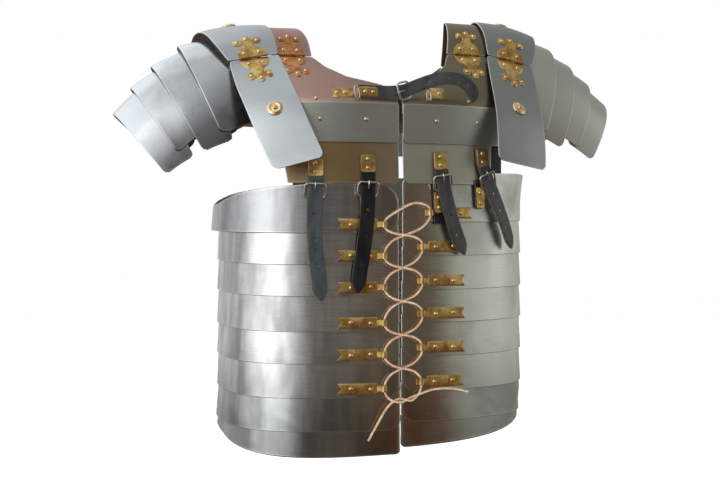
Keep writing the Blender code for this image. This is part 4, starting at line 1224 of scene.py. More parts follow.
def fill_loops(loops: Sequence[Loop], pitch: float) -> tuple[Loop, list[tuple[int, ...]]]:
    """Fills an outline less its holes with triangles.

    Args:
        loops: The outline, then the holes.
        pitch: The distance between the points set inside.

    Returns:
        The points, the loops' own first, and the triangles.
    """
    def covered(place: Sequence[float]) -> bool:
        """Whether a place is on the sheet."""
        return inside(place, loops[0]) and not any(inside(place, hole) for hole in loops[1:])

    places = [place for loop in loops for place in loop]
    edges, done = [], 0
    for loop in loops:
        edges += [(done + i, done + (i + 1) % len(loop)) for i in range(len(loop))]
        done += len(loop)
    border = np.array(places)
    low, high = border.min(axis=0), border.max(axis=0)
    for y in np.arange(low[1] + pitch / 2, high[1], pitch):
        for x in np.arange(low[0] + pitch / 2, high[0], pitch):
            clear = np.hypot(border[:, 0] - x, border[:, 1] - y).min() > pitch * CLEARANCE
            if clear and covered((x, y)):
                places.append((float(x), float(y)))
    found = delaunay_2d_cdt([Vector(place) for place in places], edges, [], 1, SAME, True)
    numbers = [origins[0] for origins in found[3]]
    triangles = []
    for corners in found[2]:
        middle = sum((found[0][i] for i in corners), Vector((0.0, 0.0))) / len(corners)
        if covered(middle):
            triangles.append(tuple(numbers[i] for i in corners))
    return places, triangles


def arc(x: float, y: float, radius: float, start: float, end: float, steps: int = 8) -> Loop:
    """Points of a circle's arc, by degrees."""
    return [(x + radius * math.cos(math.radians(start + (end - start) * i / steps)),
             y + radius * math.sin(math.radians(start + (end - start) * i / steps)))
            for i in range(steps + 1)]


def hole_loop(x: float, y: float, radius: float) -> Loop:
    """A round hole's outline."""
    return arc(x, y, radius, 0, 330, 11)


# ---------------------------------------------------------------- steel plates
BEVEL = 0.38 * MM
RIM_WIDTH = 0.9 * MM        # how broad the worn edge painted bright as a highlight line is
EDGE_SHARP = 75             # degrees from which a plate's edge is a crease
BAND_LIFT = STEP * 1.7
CHEST_MIDDLE = 2.5 * MM     # half of the gap between the breast plates
# distances from a plate's edge that its points are set at, before the even spacing starts
EDGE_STEPS = (0.0, 0.12 * BEVEL, 0.42 * BEVEL, BEVEL, 0.8 * MM, 1.7 * MM)


def spaced(length: float, spacing: float) -> list[float]:
    """Places from 0 to length, close together near both ends."""
    inner = max(2, round((length - 2 * EDGE_STEPS[-1]) / spacing))
    middle = [EDGE_STEPS[-1] + (length - 2 * EDGE_STEPS[-1]) * i / inner
              for i in range(1, inner)]
    return [*EDGE_STEPS, *middle, *(length - step for step in reversed(EDGE_STEPS))]


def run_length(points: Sequence[Vector]) -> float:
    """The length of a run of points."""
    return sum((b - a).length for a, b in zip(points, points[1:]))


def edge_swell(distance: float) -> float:
    """How far a plate's face stands from its middle layer near the edge, as a share."""
    if distance >= BEVEL:
        return 1.0
    return math.sqrt(max(0.0, 1 - (1 - distance / BEVEL) ** 2))


@dataclass
class Plate:
    """A steel plate: a patch of a form, even in thickness, with worn edges painted bright as a
    highlight line, and rounded corners.
    """

    name: str
    form: Form
    side: Side
    core: Place
    lift: float = 0.0
    flare: float = 0.0
    spacing: float = 4.5 * MM
    # corner radii: (u 0, v 0), (u 1, v 0), (u 1, v 1), (u 0, v 1)
    corners: Sequence[float] = (0.0, 0.0, 0.0, 0.0)

    def inset(self, corner: int, distance: float) -> float:
        """How far a rounded corner pulls the side in, at a distance from the end."""
        radius = self.corners[corner]
        if distance >= radius:
            return 0.0
        return radius - math.sqrt(radius ** 2 - (radius - distance) ** 2)

    def fill(self, shape: Shape) -> None:
        """Adds the plate to a shape."""
        height = run_length([self.form(0.5, i / 8) for i in range(9)])
        rows = spaced(height, self.spacing)
        length = run_length([self.form(i / 12, 0.5) for i in range(13)])
        columns = spaced(length, self.spacing)
        outer, inner = [], []
        for j, down in enumerate(rows):
            v = down / height
            starts = max(self.inset(0, down), self.inset(3, height - down))
            ends = max(self.inset(1, down), self.inset(2, height - down))
            row_out, row_in = [], []
            for i, along in enumerate(columns):
                share = along / length
                u = (starts + (length - starts - ends) * share) / length
                edge = min(down, height - down, along, length - along)
                swell = edge_swell(edge) * PLATE / 2
                here = self.form(u, v)
                base = self.lift + self.flare * v + PLATE / 2 + unevenness(here)
                normal = outward_normal(self.form, u, v, self.core)
                # how near the edge: the finish paints this band bright as a highlight line
                rim = 1 - held((edge - BEVEL) / RIM_WIDTH)
                chart = (u * length, down)
                face = shape.point(mirrored(here + normal * (base + swell), self.side),
                                   chart, rim)
                border = i in (0, len(columns) - 1) or j in (0, len(rows) - 1)
                row_out.append(face)
                row_in.append(face if border else shape.point(
                    mirrored(here + normal * (base - swell), self.side), chart, rim))
            outer.append(row_out)
            inner.append(row_in)
        for sheet in (outer, inner):
            for near, far in zip(sheet, sheet[1:]):
                shape.bridge(near, far, closed=False)

    def make(self, finish: Material, body: str = ROOT) -> Piece:
        """Makes the plate, which stands for the CAD node of its name."""
        shape = Shape()
        self.fill(shape)
        return shape.make(self.name + "_plate", [finish], Slot.STEEL, body, [self.name],
                          sharp=EDGE_SHARP)


def hoop_levels(index: int, side: Side) -> tuple[float, float]:
    """The hoop's lower and upper edge at the front."""
    low = HOOP_ROWS[index][side] * MM
    if index == 0:
        return low, low + TOP_HOOP_HEIGHT
    return low, HOOP_ROWS[index - 1][side] * MM + HOOP_OVERLAP


def hoop_start(index: int) -> float:
    """The turn at which a hoop starts beside the front gap."""
    return ring_turn(HOOP_ROWS[index]["half_gap"] * MM)


def hoop_flare(index: int) -> float:
    """How far a hoop's lower edge stands outside its upper edge."""
    return HOOP_FLARE if index < len(HOOP_ROWS) - 1 else HEM_FLARE


def hoop_form(index: int, side: Side) -> Form:
    """A hoop's form: u from the front gap round to the back gap, v from its top down.

    Args:
        index: Which hoop it is, from the top.
        side: The half of the armour.

    Returns:
        The form.
    """
    low, high = hoop_levels(index, side)
    start = hoop_start(index)
    tilt = GIRDLE_TILT[side]
    levels = [row["z"] for row in WAIST]
    waists = [row[side] for row in WAIST]

    def form(u: float, v: float) -> Vector:
        """The hoop's point."""
        turn = start + (180 - 2 * start) * u
        flank = math.sin(math.radians(turn))
        top, hem = high, low
        if index == 0:
            top -= smooth_row(TOP_FALLS[side], turn / 180) * MM
        if index == len(HOOP_ROWS) - 1:
            hem += smooth_row(HEM_RISES[side], turn / 180) * MM
        point = ring_point(turn, top + (hem - top) * v)
        waist = np.interp(point.z / MM, levels, waists) if index else TOP_WAIST[side]
        point.x -= waist * MM * flank ** 6
        if index == 0:
            point.x += TOP_FLARE[side] * (1 - v) ** 2 * flank ** 4
        point.z += tilt * (point.y + HALF_DEPTH)
        return point

    return form


def band_form(top: float, bottom: float, out_top: float, out_bottom: float, face: Face,
              side: Side, top_line: Callable[[float], float] | None = None) -> Form:
    """A plate of the chest or back: u from the middle outwards, v from its top down.

    Args:
        top: Its upper edge's height, in mm.
        bottom: Its lower edge's height.
        out_top: Its upper outer corner's distance from the middle, in mm.
        out_bottom: Its lower outer corner's.
        face: The front or the back.
        side: The half of the armour.
        top_line: The upper edge's height in metres by the distance, where it isn't level.

    Returns:
        The form.
    """
    def form(u: float, v: float) -> Vector:
        """The plate's point."""
        outer = (out_top + (out_bottom - out_top) * v) * MM
        x = CHEST_MIDDLE + (outer - CHEST_MIDDLE) * u
        high = top_line(x) if top_line else top * MM
        return chest_point(x, high + (bottom * MM - high) * v, face, side)

    return form


def collar_height(face: Face) -> Callable[[float], float]:
    """The collar plate's upper edge: the neckline, then the hinge line out to the edge."""
    def height(x: float) -> float:
        """The edge's height at the distance x from the middle."""
        return min(neckline(x, face), HINGE_LINE * MM - HINGE_AIR * 1.5)
    return height


def rows_length(rows: Sequence[PlateRow]) -> float:
    """The length of a plate along its middle line."""
    middles = [(np.array(row[0]) + np.array(row[1])) / 2 * MM for row in rows]
    return float(sum(np.linalg.norm(b - a) for a, b in zip(middles, middles[1:])))


def patch(form: Form, start: float, end: float) -> Form:
    """The part of a form between these values of v, as a form of its own."""
    def part(u: float, v: float) -> Vector:
        """The part's point."""
        return form(u, start + (end - start) * v)
    return part


def leaf_form(face: Face, side: Side) -> Form:
    """The form of a guard's leaf."""
    return plate_of_rows(LEAF_ROWS[face], side,
                         LEAF_SHAPE[side] if face is Face.FRONT else PLAIN_LEAF)


def lame_form(name: str, row: dict[str, float], side: Side) -> Form:
    """The form of a lesser shoulder plate: an arch over the arm.

    Args:
        name: The plate's name.
        row: Its row.
        side: The half of the armour.

    Returns:
        The form.
    """
    def form(u: float, v: float) -> Vector:
        """The plate's point."""
        way = 2 * u - 1
        arch = row["end"] * way * (1 + row["skew"] * (1 - v) * max(way, 0) ** 2)
        spread = LAME_SPREAD[Face.FRONT if arch > 0 else Face.BACK] if name == "a" else 0.0
        breadth = row["span"] * (1 + spread * (1 - math.cos(math.radians(arch))))
        crown = row["edge"] - breadth * (1 - v)
        point = shoulder_point(crown, arch, side)
        tuck = LAME_TUCK * (1 - v) * math.cos(math.radians(arch))
        point.x -= tuck * math.sin(math.radians(crown))
        point.z -= tuck * math.cos(math.radians(crown))
        return point
    return form


@dataclass
class Girdle:
    """The eight hoops of each half, each riveted to hidden leathers and tied over the gap."""

    finishes: Finishes
    corner: float = 9 * MM
    upper_corner: float = 11 * MM
    blunt: float = 2 * MM           # the radius of the corners that hardly show
    spacing: float = 5 * MM

    def build(self) -> None:
        """Makes the hoops, top down, on both sides."""
        for side in Side:
            for index in range(len(HOOP_ROWS)):
                upper = self.upper_corner if index == 0 else self.blunt
                lower = self.corner if index < len(HOOP_ROWS) - 1 else self.blunt
                Plate(f"hoop_{side.value}_{index + 1}", hoop_form(index, side), side, TORSO_CORE,
                      flare=hoop_flare(index), spacing=self.spacing,
                      corners=(upper, upper, lower, lower),
                      ).make(self.finishes.girdle if index else self.finishes.top_hoop)


@dataclass
class Chest:
    """The breast and back plates: a collar plate, a band and a low plate in each quarter."""

    finishes: Finishes
    low_lift: float = 0.3 * MM
    low_flare: float = 2.9 * MM
    collar_corners: Sequence[float] = (3 * MM, 2 * MM, 2 * MM, 2 * MM)
    band_corners: Sequence[float] = (2.5 * MM, 3 * MM, 3 * MM, 7 * MM)
    low_corners: Sequence[float] = (2 * MM, 2 * MM, 2 * MM, 8 * MM)

    def build(self) -> None:
        """Makes the four quarters."""
        for side in Side:
            for face, prefix in ((Face.FRONT, "chest"), (Face.BACK, "back")):
                self.quarter(side, face, prefix)

    def quarter(self, side: Side, face: Face, prefix: str) -> None:
        """Makes one quarter's three plates.

        Args:
            side: The half of the armour.
            face: The front or the back.
            prefix: What its plates' names begin with.
        """
        collar = band_form(0, COLLAR_BOTTOM, COLLAR_OUT[face], COLLAR_SIDE[face], face, side,
                           collar_height(face))
        Plate(f"{prefix}_collar_{side.value}", collar, side, TORSO_CORE, spacing=4 * MM,
              corners=self.collar_corners).make(self.finishes.breast[side])
        band = band_form(BAND_TOP, BAND_BOTTOM, BAND_SIDE[face], BAND_SIDE[face], face, side)
        Plate(f"{prefix}_band_{side.value}", band, side, TORSO_CORE, lift=BAND_LIFT,
              corners=self.band_corners).make(self.finishes.band)
        low = band_form(LOW_TOP, LOW_BOTTOM, *LOW_SIDES[face, side], face, side)
        Plate(f"{prefix}_low_{side.value}", low, side, TORSO_CORE, lift=self.low_lift,
              flare=self.low_flare, corners=self.low_corners).make(self.finishes.low[side])


@dataclass
class Shoulders:
    """The collar tops, the guards with their turning leaves, and the lesser plates."""

    finishes: Finishes
    leaf_corner: float = 8 * MM
    top_corner: float = 4 * MM
    lame_corners: tuple[float, ...] = (5 * MM, 5 * MM, 7 * MM, 7 * MM)

    def plate(self, name: str, rows: Sequence[PlateRow], side: Side, form: Form,
              finish: Material, corners: Sequence[float], free_end: bool = False) -> None:
        """Makes a plate, cut back a little from its hinge lines.

        Args:
            name: Its name.
            rows: Its rows.
            side: The half of the armour.
            form: Its form.
            finish: Its material.
            corners: Its corner radii.
            free_end: Whether it is a leaf, whose end is free and which turns by itself.
        """
        trim = HINGE_AIR / rows_length(rows)
        form = patch(form, trim, 1 if free_end else 1 - trim)
        Plate(name, form, side, SHOULDER_CORE, corners=corners).make(
            finish, name if free_end else ROOT)

    def build(self) -> None:
        """Makes both shoulders."""
        for side in Side:
            leaf = self.finishes.leaf[side]
            self.plate(f"collar_top_{side.value}", COLLAR_TOP_ROWS, side,
                       plate_of_rows(COLLAR_TOP_ROWS, side, pinned=True),
                       self.finishes.breast[side], (2 * MM,) * 4)
            self.plate(f"guard_top_{side.value}", GUARD_TOP_ROWS, side,
                       plate_of_rows(GUARD_TOP_ROWS, side), leaf, (self.top_corner,) * 4)
            for face, rows in LEAF_ROWS.items():
                corners = (self.top_corner,) * 2 + (self.leaf_corner,) * 2
                self.plate(f"guard_{face.value}_{side.value}", rows, side, leaf_form(face, side),
                           leaf, corners, free_end=True)
            for name, row in zip(LAME_NAMES, LAME_ROWS[side]):
                Plate(f"lame_{name}_{side.value}", lame_form(name, row, side), side,
                      SHOULDER_CORE, flare=LAME_FLARE,
                      corners=self.lame_corners).make(self.finishes.guard[side])


# ---------------------------------------------------------------- brass fittings
Axis = tuple[Vector, Vector, Vector]        # its middle, its direction and outwards
RIVET_DOME = ((0.0, 1.0), (0.38, 0.93), (0.72, 0.68), (0.93, 0.34), (1.0, 0.0), (1.0, -0.45))


def rivet(shape: Shape, placer: Placer, x: float, y: float, base: float,
          radius: float = 2.6 * MM, height: float = 1.7 * MM, sides: int = 14) -> None:
    """Adds a domed rivet head.

    Args:
        shape: The piece that it belongs to.
        placer: The place of the sheet that it is in.
        x: Where it is across the sheet.
        y: Where it is along the sheet.
        base: The height of the face that it stands on.
        radius: The head's radius.
        height: The head's height.
        sides: How many sides it has.
    """
    foot = placer(x, y, base)
    way = (placer(x, y, base + MM) - foot).normalized()
    shape.lathe(foot, way, [(r * radius, h * height) for r, h in RIVET_DOME], sides)


def rolled(shape: Shape, rows: Sequence[tuple[Vector, Vector]], lift: Vector) -> None:
    """Adds a bent strip of brass.

    Args:
        shape: The piece that it belongs to.
        rows: The strip's middle and half of its breadth, from end to end.
        lift: Half of its thickness.
    """
    rings = [[shape.point(here + half + lift), shape.point(here - half + lift),
              shape.point(here - half - lift), shape.point(here + half - lift)]
             for here, half in rows]
    for near, far in zip(rings, rings[1:]):
        shape.bridge(near, far)
    shape.face(*rings[0])
    shape.face(*rings[-1])


def placer_on(form: Form, side: Side, lift: float) -> Placer:
    """A placer of a torso form's own two places, at a height over a lift."""
    def placer(x: float, y: float, height: float) -> Vector:
        """The point over the form."""
        return raised(form, x, y, TORSO_CORE, side, lift + height)
    return placer


@dataclass
class Ties:
    """The brass tie plates beside the front and back gaps, each with its lace eye."""

    finishes: Finishes
    length: float = 46 * MM
    breadth: float = 13 * MM
    notch: float = 4.5 * MM
    mitre: float = 1.2 * MM
    rivets: Spot = (8.5 * MM, 31 * MM)
    rivet_rises: Spot = (0.4 * MM, -0.7 * MM)   # by turns: no two are punched quite alike
    wall: float = 0.95 * MM
    soft: float = 0.3 * MM                      # how round the eye's rims are

    def outline(self) -> Loop:
        """A tie plate: a fishtail at its outer end and a tongue at its inner one."""
        half = self.breadth / 2
        tail = [(self.length, half), (self.length - self.notch, 0.0), (self.length, -half)]
        return [(self.mitre, -half), *tail[::-1], (self.mitre, half),
                (0.0, half - self.mitre), (0.0, self.mitre - half)]

    def build(self) -> None:
        """Makes the ties of each side and face as one piece."""
        for side in Side:
            for face in Face:
                shape = Shape()
                for index in range(TIED_HOOPS):
                    self.tie(shape, index, side, face)
                shape.make(f"ties_{face.value}_{side.value}", self.finishes.riveted, Slot.BRASS)

    def tie(self, shape: Shape, index: int, side: Side, face: Face) -> None:
        """Adds one tie.

        Args:
            shape: The piece.
            index: Its hoop, from the top.
            side: The half of the armour.
            face: The front or the back.
        """
        low, high = hoop_levels(index, side)
        form = hoop_form(index, side)
        start = hoop_start(index)
        span = 180 - 2 * start
        middle = 1 - TIE_RISE / (high - low)

        def placer(x: float, y: float, height: float) -> Vector:
            """The point over the hoop, x outwards from the plate's end and y down."""
            u = (ring_turn(TIE_INSET[side][index] * MM + x) - start) / span
            v = middle - y / (high - low)
            if face is Face.BACK:
                u = 1 - u
            return raised(form, u, v, TORSO_CORE, side, PLATE + HOOP_FLARE * v + height)

        shape.coat = 0
        shape.cutout(self.outline(), placer, SEAT, BRASS, pitch=4.5 * MM)
        shape.coat = 1
        for k, x in enumerate(self.rivets):
            rivet(shape, placer, x, self.rivet_rises[(index + k) % 2], BRASS)
        shape.coat = 0
        self.eye(shape, *eye_place(index, side, face), placer(1.0 * MM, 0.0, BRASS / 2))

    def eye(self, shape: Shape, middle: Vector, outward: Vector, foot: Vector) -> None:
        """Adds an upright lace eye and the bent tongue that carries it.

        Args:
            shape: The piece.
            middle: The eye's middle.
            outward: The direction out of the torso there.
            foot: Where the tongue leaves its tie plate.
        """
        half, bore, soft = EYE_HEIGHT / 2, EYE_RADIUS - self.wall, self.soft
        shape.lathe(middle, UP, [
            (bore, -half + soft), (bore + soft, -half), (EYE_RADIUS - soft, -half),
            (EYE_RADIUS, -half + soft), (EYE_RADIUS, half - soft), (EYE_RADIUS - soft, half),
            (bore + soft, half), (bore, half - soft), (bore, -half + soft)], 22, rim=0.25)
        aside = Vector((math.copysign(EYE_RADIUS, middle.x), 0, 0))
        head = middle + aside * 0.80 - outward * EYE_RADIUS * 0.42
        lift = (head - foot).normalized().cross(UP).normalized() * 0.4 * MM
        rolled(shape, [(foot.lerp(head, share), UP * EYE_HEIGHT * (0.44 - 0.06 * share))
                       for share in (0.0, 0.35, 0.7, 1.0)], lift)


def surface_at(side: Side, x: float, z: float, face: Face) -> tuple[Vector, Vector]:
    """The torso form's point and outward normal.

    Args:
        side: The half of the armour.
        x: The distance from the middle.
        z: The height.
        face: The front or the back.

    Returns:
        The point and the normal.
    """
    turn = ring_turn(abs(x))
    point = ring_point(turn if face is Face.FRONT else 180 - turn, z)
    normal = Vector(((abs(point.x) / HALF_WIDTH) ** (SQUARENESS - 1) / HALF_WIDTH,
                     face.facing * (abs(point.y) / HALF_DEPTH) ** (SQUARENESS - 1) / HALF_DEPTH,
                     0)).normalized()
    return (Vector((side.sign * point.x, point.y, z)),
            Vector((side.sign * normal.x, normal.y, 0)))


def eye_place(index: int, side: Side, face: Face) -> tuple[Vector, Vector]:
    """The middle of a tie's eye and the outward direction there."""
    x = TIE_INSET[side][index] * MM - EYE_REACH[side]
    z = HOOP_ROWS[index][side] * MM + TIE_RISE
    if face is Face.BACK:
        z += 2 * GIRDLE_TILT[side] * HALF_DEPTH
    point, normal = surface_at(side, x, z, face)
    return point + normal * (PLATE + HOOP_FLARE + EYE_RADIUS + 0.3 * MM), normal


@dataclass
class LobedHinges:
    """The brass hinges over the shoulders: riveted leaves that end in three round lobes."""

    finishes: Finishes
    lobes: Loop = ((10.4 * MM, 21.2 * MM), (0.0, 25.0 * MM), (-10.4 * MM, 21.2 * MM))
    lobe_radius: float = 4.3 * MM
    disc_height: float = 11.5 * MM
    body_rivet: Spot = (8.4 * MM, 5.4 * MM)

    def outline(self) -> Loop:
        """A leaf: half a disc at the hinge, a neck, and three lobes."""
        half = HINGE_WIDTH / 2
        disc = [(x, 2.2 * MM + y * self.disc_height / half)
                for x, y in arc(0, 0, half, 4, 62, 9)]
        right = [(half, 0.0), *disc, *arc(8.9 * MM, 16.2 * MM, 3.4 * MM, 232, 150, 5),
                 *arc(*self.lobes[0], self.lobe_radius, -108, 150, 11), (5.0 * MM, 23.2 * MM)]
        cap = arc(*self.lobes[1], self.lobe_radius, -22, 202, 12)
        return [*right, *cap, *((-x, y) for x, y in reversed(right))]

    def leaf(self, shape: Shape, placer: Placer) -> None:
        """Adds a leaf with its rivets."""
        shape.coat = 0
        shape.cutout(self.outline(), placer, SEAT, BRASS, pitch=3.5 * MM)
        shape.coat = 1
        x, y = self.body_rivet
        for place in ((x, y), (-x, y), *self.lobes):
            rivet(shape, placer, *place, BRASS, radius=2.35 * MM, height=1.5 * MM)

    def knuckles(self, shape: Shape, axis: Axis, placer: Placer, ways: Sequence[int]) -> None:
        """Adds a leaf's knuckles and the strip that rolls round into each.

        Args:
            shape: The leaf's piece.
            axis: The hinge axis's middle, direction and outward direction.
            placer: The leaf's placer.
            ways: Which thirds of the hinge they are, from -1 to 1.
        """
        middle, along, outward = axis
        third = HINGE_WIDTH / 3
        air = soft = 0.25 * MM
        half, bore = third / 2 - air, PIN_RADIUS + air
        for way in ways:
            centre = middle + along * way * third
            shape.lathe(centre, along, [
                (bore, -half), (BARREL_RADIUS - soft, -half), (BARREL_RADIUS, -half + soft),
                (BARREL_RADIUS, half - soft), (BARREL_RADIUS - soft, half), (bore, half),
                (bore, -half)], 18, rim=0.3)
            foot = placer(way * third, 0.8 * MM, BRASS / 2)
            aside = foot - centre
            aside -= along * aside.dot(along) + outward * aside.dot(outward)
            head = centre + (aside.normalized() - outward) * BARREL_RADIUS * 0.62
            run = head - foot
            run -= along * run.dot(along)
            lift = run.cross(along).normalized() * 0.38 * MM
            wide = along * (half - 0.35 * MM)
            rolled(shape, [(foot + run * share, wide) for share in (0.0, 0.5, 1.0)], lift)

    def pin(self, shape: Shape, axis: Axis) -> None:
        """Adds the pin with its two burred ends."""
        middle, along, _ = axis
        reach, head = HINGE_WIDTH / 2 + 0.1 * MM, PIN_RADIUS * 1.55
        shape.lathe(middle, along, [
            (0.0, -reach - 0.7 * MM), (head * 0.8, -reach - 0.5 * MM), (head, -reach),
            (PIN_RADIUS, -reach), (PIN_RADIUS, reach), (head, reach),
            (head * 0.8, reach + 0.5 * MM), (0.0, reach + 0.7 * MM)], 14)

    def strip(self, form: Form, rows: Sequence[PlateRow], side: Side, at_end: bool,
              half: Half) -> Placer:
        """The placer of a leaf on a shoulder plate.

        Args:
            form: The plate's form.
            rows: Its rows.
            side: The half of the armour.
            at_end: Whether the leaf is at the rows' end.
            half: Which half of a hinge it is.

        Returns:
            The placer.
        """
        stretch, length = HINGE_STRETCH[half], rows_length(rows)
        row = rows[-1 if at_end else 0]
        width = float(np.linalg.norm(np.array(row[0]) - np.array(row[1]))) * MM

        def placer(x: float, y: float, height: float) -> Vector:
            """The point over the plate, x outwards and y away from the hinge."""
            v = (y * stretch + LEAF_CLEAR) / length
            u, v = 0.5 + x / width, 1 - v if at_end else v
            return raised(form, u, v, SHOULDER_CORE, side, PLATE + height)

        return placer

    def collar_strip(self, face: Face, side: Side) -> Placer:
        """The placer of the leaf on a collar plate."""
        row = COLLAR_TOP_ROWS[0 if face is Face.FRONT else -1]
        middle = (row[0][0] + row[1][0]) / 2 * MM

        def form(u: float, v: float) -> Vector:
            """The collar plate, u outwards from the hinge's middle and v down."""
            z = HINGE_LINE * MM - 0.7 * (LEAF_CLEAR + v * HINGE_STRETCH[Half.ON_COLLAR])
            return chest_point(middle + u, z, face, side)

        return placer_on(form, side, PLATE)

    def build(self) -> None:
        """Makes the eight hinges."""
        for side in Side:
            collar = plate_of_rows(COLLAR_TOP_ROWS, side, pinned=True)
            guard = plate_of_rows(GUARD_TOP_ROWS, side)
            brass = (self.finishes.riveted_copper if side is Side.RIGHT
                     else self.finishes.riveted)
            for face in Face:
                place, at_end = f"{face.value}_{side.value}", face is Face.BACK
                shape, axis = Shape(), axis_of(collar, side, face)
                self.half(shape, axis, self.strip(collar, COLLAR_TOP_ROWS, side, at_end,
                                                  Half.ON_COLLAR_TOP), (-1, 1))
                self.half(shape, axis, self.collar_strip(face, side), (0,))
                self.pin(shape, axis)
                shape.make(f"collar_hinge_{place}", brass, Slot.BRASS)
                shape, axis = Shape(), axis_of(guard, side, face)
                self.half(shape, axis, self.strip(guard, GUARD_TOP_ROWS, side, at_end,
                                                  Half.ON_GUARD_TOP), (-1, 1))
                self.pin(shape, axis)
                shape.make(f"guard_hinge_upper_{place}", self.finishes.riveted, Slot.BRASS)
                shape = Shape()
                self.half(shape, axis, self.strip(leaf_form(face, side), LEAF_ROWS[face], side,
                                                  False, Half.ON_LEAF), (0,))
                shape.make(f"guard_hinge_lower_{place}", self.finishes.riveted, Slot.BRASS,
                           f"guard_{place}")

    def half(self, shape: Shape, axis: Axis, placer: Placer, ways: Sequence[int]) -> None:
        """Adds a hinge's leaf with its knuckles."""
        self.leaf(shape, placer)
        shape.coat = 0
        self.knuckles(shape, axis, placer, ways)


def axis_of(form: Form, side: Side, face: Face) -> Axis:
    """A hinge's axis over the joint line.

    Args:
        form: The form of the plate that stays.
        side: The half of the armour.
        face: The front or the back.

    Returns:
        Its middle, its direction and the outward direction.
    """
    v = 0 if face is Face.FRONT else 1
    a, b = form(0, v), form(1, v)
    slope = math.radians(HINGE_SLOPE)
    along = (b - a).normalized()
    outward = Vector((0, face.facing * math.sin(slope), math.cos(slope)))
    outward = (outward - along * outward.dot(along)).normalized()
    middle = (a + b) / 2 + outward * AXIS_RISE
    return mirrored(middle, side), mirrored(along, side), mirrored(outward, side)


@dataclass
class Rivets:
    """The plain rivets and the rosettes on the steel."""

    finishes: Finishes
    rosette: Loop = (               # radii and heights, mm
        (0.0, 3.6), (1.2, 3.45), (2.1, 2.9), (2.6, 2.1), (3.2, 1.6), (4.4, 1.55), (5.4, 1.9),
        (6.3, 2.3), (7.1, 2.0), (7.7, 1.3), (8.6, 1.05), (9.1, 0.7), (9.3, 0.0))
    petals: int = 14
    scallop_from: float = 8.2 * MM          # the radius from which its border is scalloped
    # a row's name, its distances from the middle in front and behind, its height and lift
    chest_rows: dict[Side, tuple] = field(default_factory=lambda: {
        Side.RIGHT: (("collar", (48.0, 96.0), (48.0, 96.0), -90.5, 0.0),
                     ("band", (41.0, 92.0), (41.0, 80.0), -114, BAND_LIFT)),
        Side.LEFT: (("collar", (35.0, 88.0), (35.0, 88.0), -90.5, 0.0),
                    ("band", (43.5, 97.0), (43.5, 80.0), -114, BAND_LIFT)),
    })
    rosette_rows: dict[Side, float] = field(      # how far down the front leaf its rosette is
        default_factory=lambda: {Side.RIGHT: 0.515, Side.LEFT: 0.45})

    def build(self) -> None:
        """Makes the rivets of the plates, side by side."""
        for side in Side:
            self.chest_rivets(side)
            self.rosettes(side)
            self.lame_rivets(side)
            self.hoop_rivets(side)
        self.inner_leather()

    def make(self, shape: Shape, name: str, body: str = ROOT) -> None:
        """Makes a piece of rivets."""
        shape.make(name, [self.finishes.rivet], Slot.BRASS, body)

    def chest_placer(self, side: Side, face: Face, lift: float) -> Placer:
        """A placer of x and z on the chest or the back."""
        return placer_on(lambda x, z: chest_point(x, z, face, side), side, lift)

    def inner_leather(self) -> None:
        """A dark leather sheet behind the left low plate, put where shade falls under the arm:
        painted shade.
        """
        shape = Shape()
        width, height = 27 * MM, 50 * MM
        across, down = 110 * MM, -124 * MM
        surface = self.chest_placer(Side.LEFT, Face.FRONT, 0.0)

        def placer(x: float, y: float, lift: float) -> Vector:
            """The point over the leather."""
            return surface(across + x, down - y, lift)

        outline = [(0.0, 0.0), (width, 0.0), (width, height), (0.0, height)]
        shape.cutout(outline, placer, -2.1 * MM, -0.3 * MM, back=True)
        piece = shape.make("inner_leather_left", [self.finishes.hides[StrapSheen.WAXED]], Slot.HIDE)

    def chest_rivets(self, side: Side) -> None:
        """Rivets that hold the collar plates and the bands to their inner leathers."""
        for name, columns, back_columns, z, lift in self.chest_rows[side]:
            shape = Shape()
            for face in Face:
                placer = self.chest_placer(side, face, PLATE + lift)
                for x in columns if face is Face.FRONT else back_columns:
                    rivet(shape, placer, x * MM, z * MM, 0.0)
            self.make(shape, f"{name}_rivets_{side.value}")

    def rosettes(self, side: Side) -> None:
        """The embossed rosette on each guard's top and leaves."""
        top = plate_of_rows(GUARD_TOP_ROWS, side)
        spots = (("guard_front", leaf_form(Face.FRONT, side), self.rosette_rows[side]),
                 ("guard_top", top, 0.5), ("guard_back", leaf_form(Face.BACK, side), 0.66))
        for name, form, v in spots:
            up = mirrored(outward_normal(form, 0.5, v, SHOULDER_CORE), side)
            middle = raised(form, 0.5, v, SHOULDER_CORE, side, PLATE)
            shape = Shape()
            shape.lathe(middle, up, [(r * MM, h * MM) for r, h in self.rosette],
                        self.petals * 4)
            for k, point in enumerate(shape.points):
                rise = up * (point - middle).dot(up)
                flat = point - middle - rise
                if flat.length > self.scallop_from:
                    shape.points[k] = middle + flat * (1 - 0.03 * (k % 4 in (0, 1))) + rise
            body = ROOT if name == "guard_top" else f"{name}_{side.value}"
            self.make(shape, f"{name}_rosette_{side.value}", body)

    def small_rivet(self, shape: Shape, form: Form, spot: Spot, core: Place, side: Side,
                    lift: float) -> None:
        """Adds a small rivet head.

        Args:
            shape: The piece.
            form: The plate's form.
            spot: Its (u, v) there.
            core: A point that outwards is away from.
            side: The half of the armour.
            lift: The height of the plate's face over its form.
        """
        def placer(u: float, v: float, height: float) -> Vector:
            """The point over the plate."""
            return raised(form, u, v, core, side, lift + height)

        rivet(shape, placer, *spot, 0.0, radius=1.9 * MM, height=0.9 * MM, sides=12)

    def lame_rivets(self, side: Side) -> None:
        """Rivets that hold the lesser plates to their inner leathers."""
        shape, v = Shape(), 0.86            # how far down its plate each rivet is
        for name, row in zip(LAME_NAMES, LAME_ROWS[side]):
            for u in (0.08, 0.24):
                self.small_rivet(shape, lame_form(name, row, side), (u, v), SHOULDER_CORE, side,
                                 PLATE + LAME_FLARE * v)
        self.make(shape, f"lame_rivets_{side.value}")

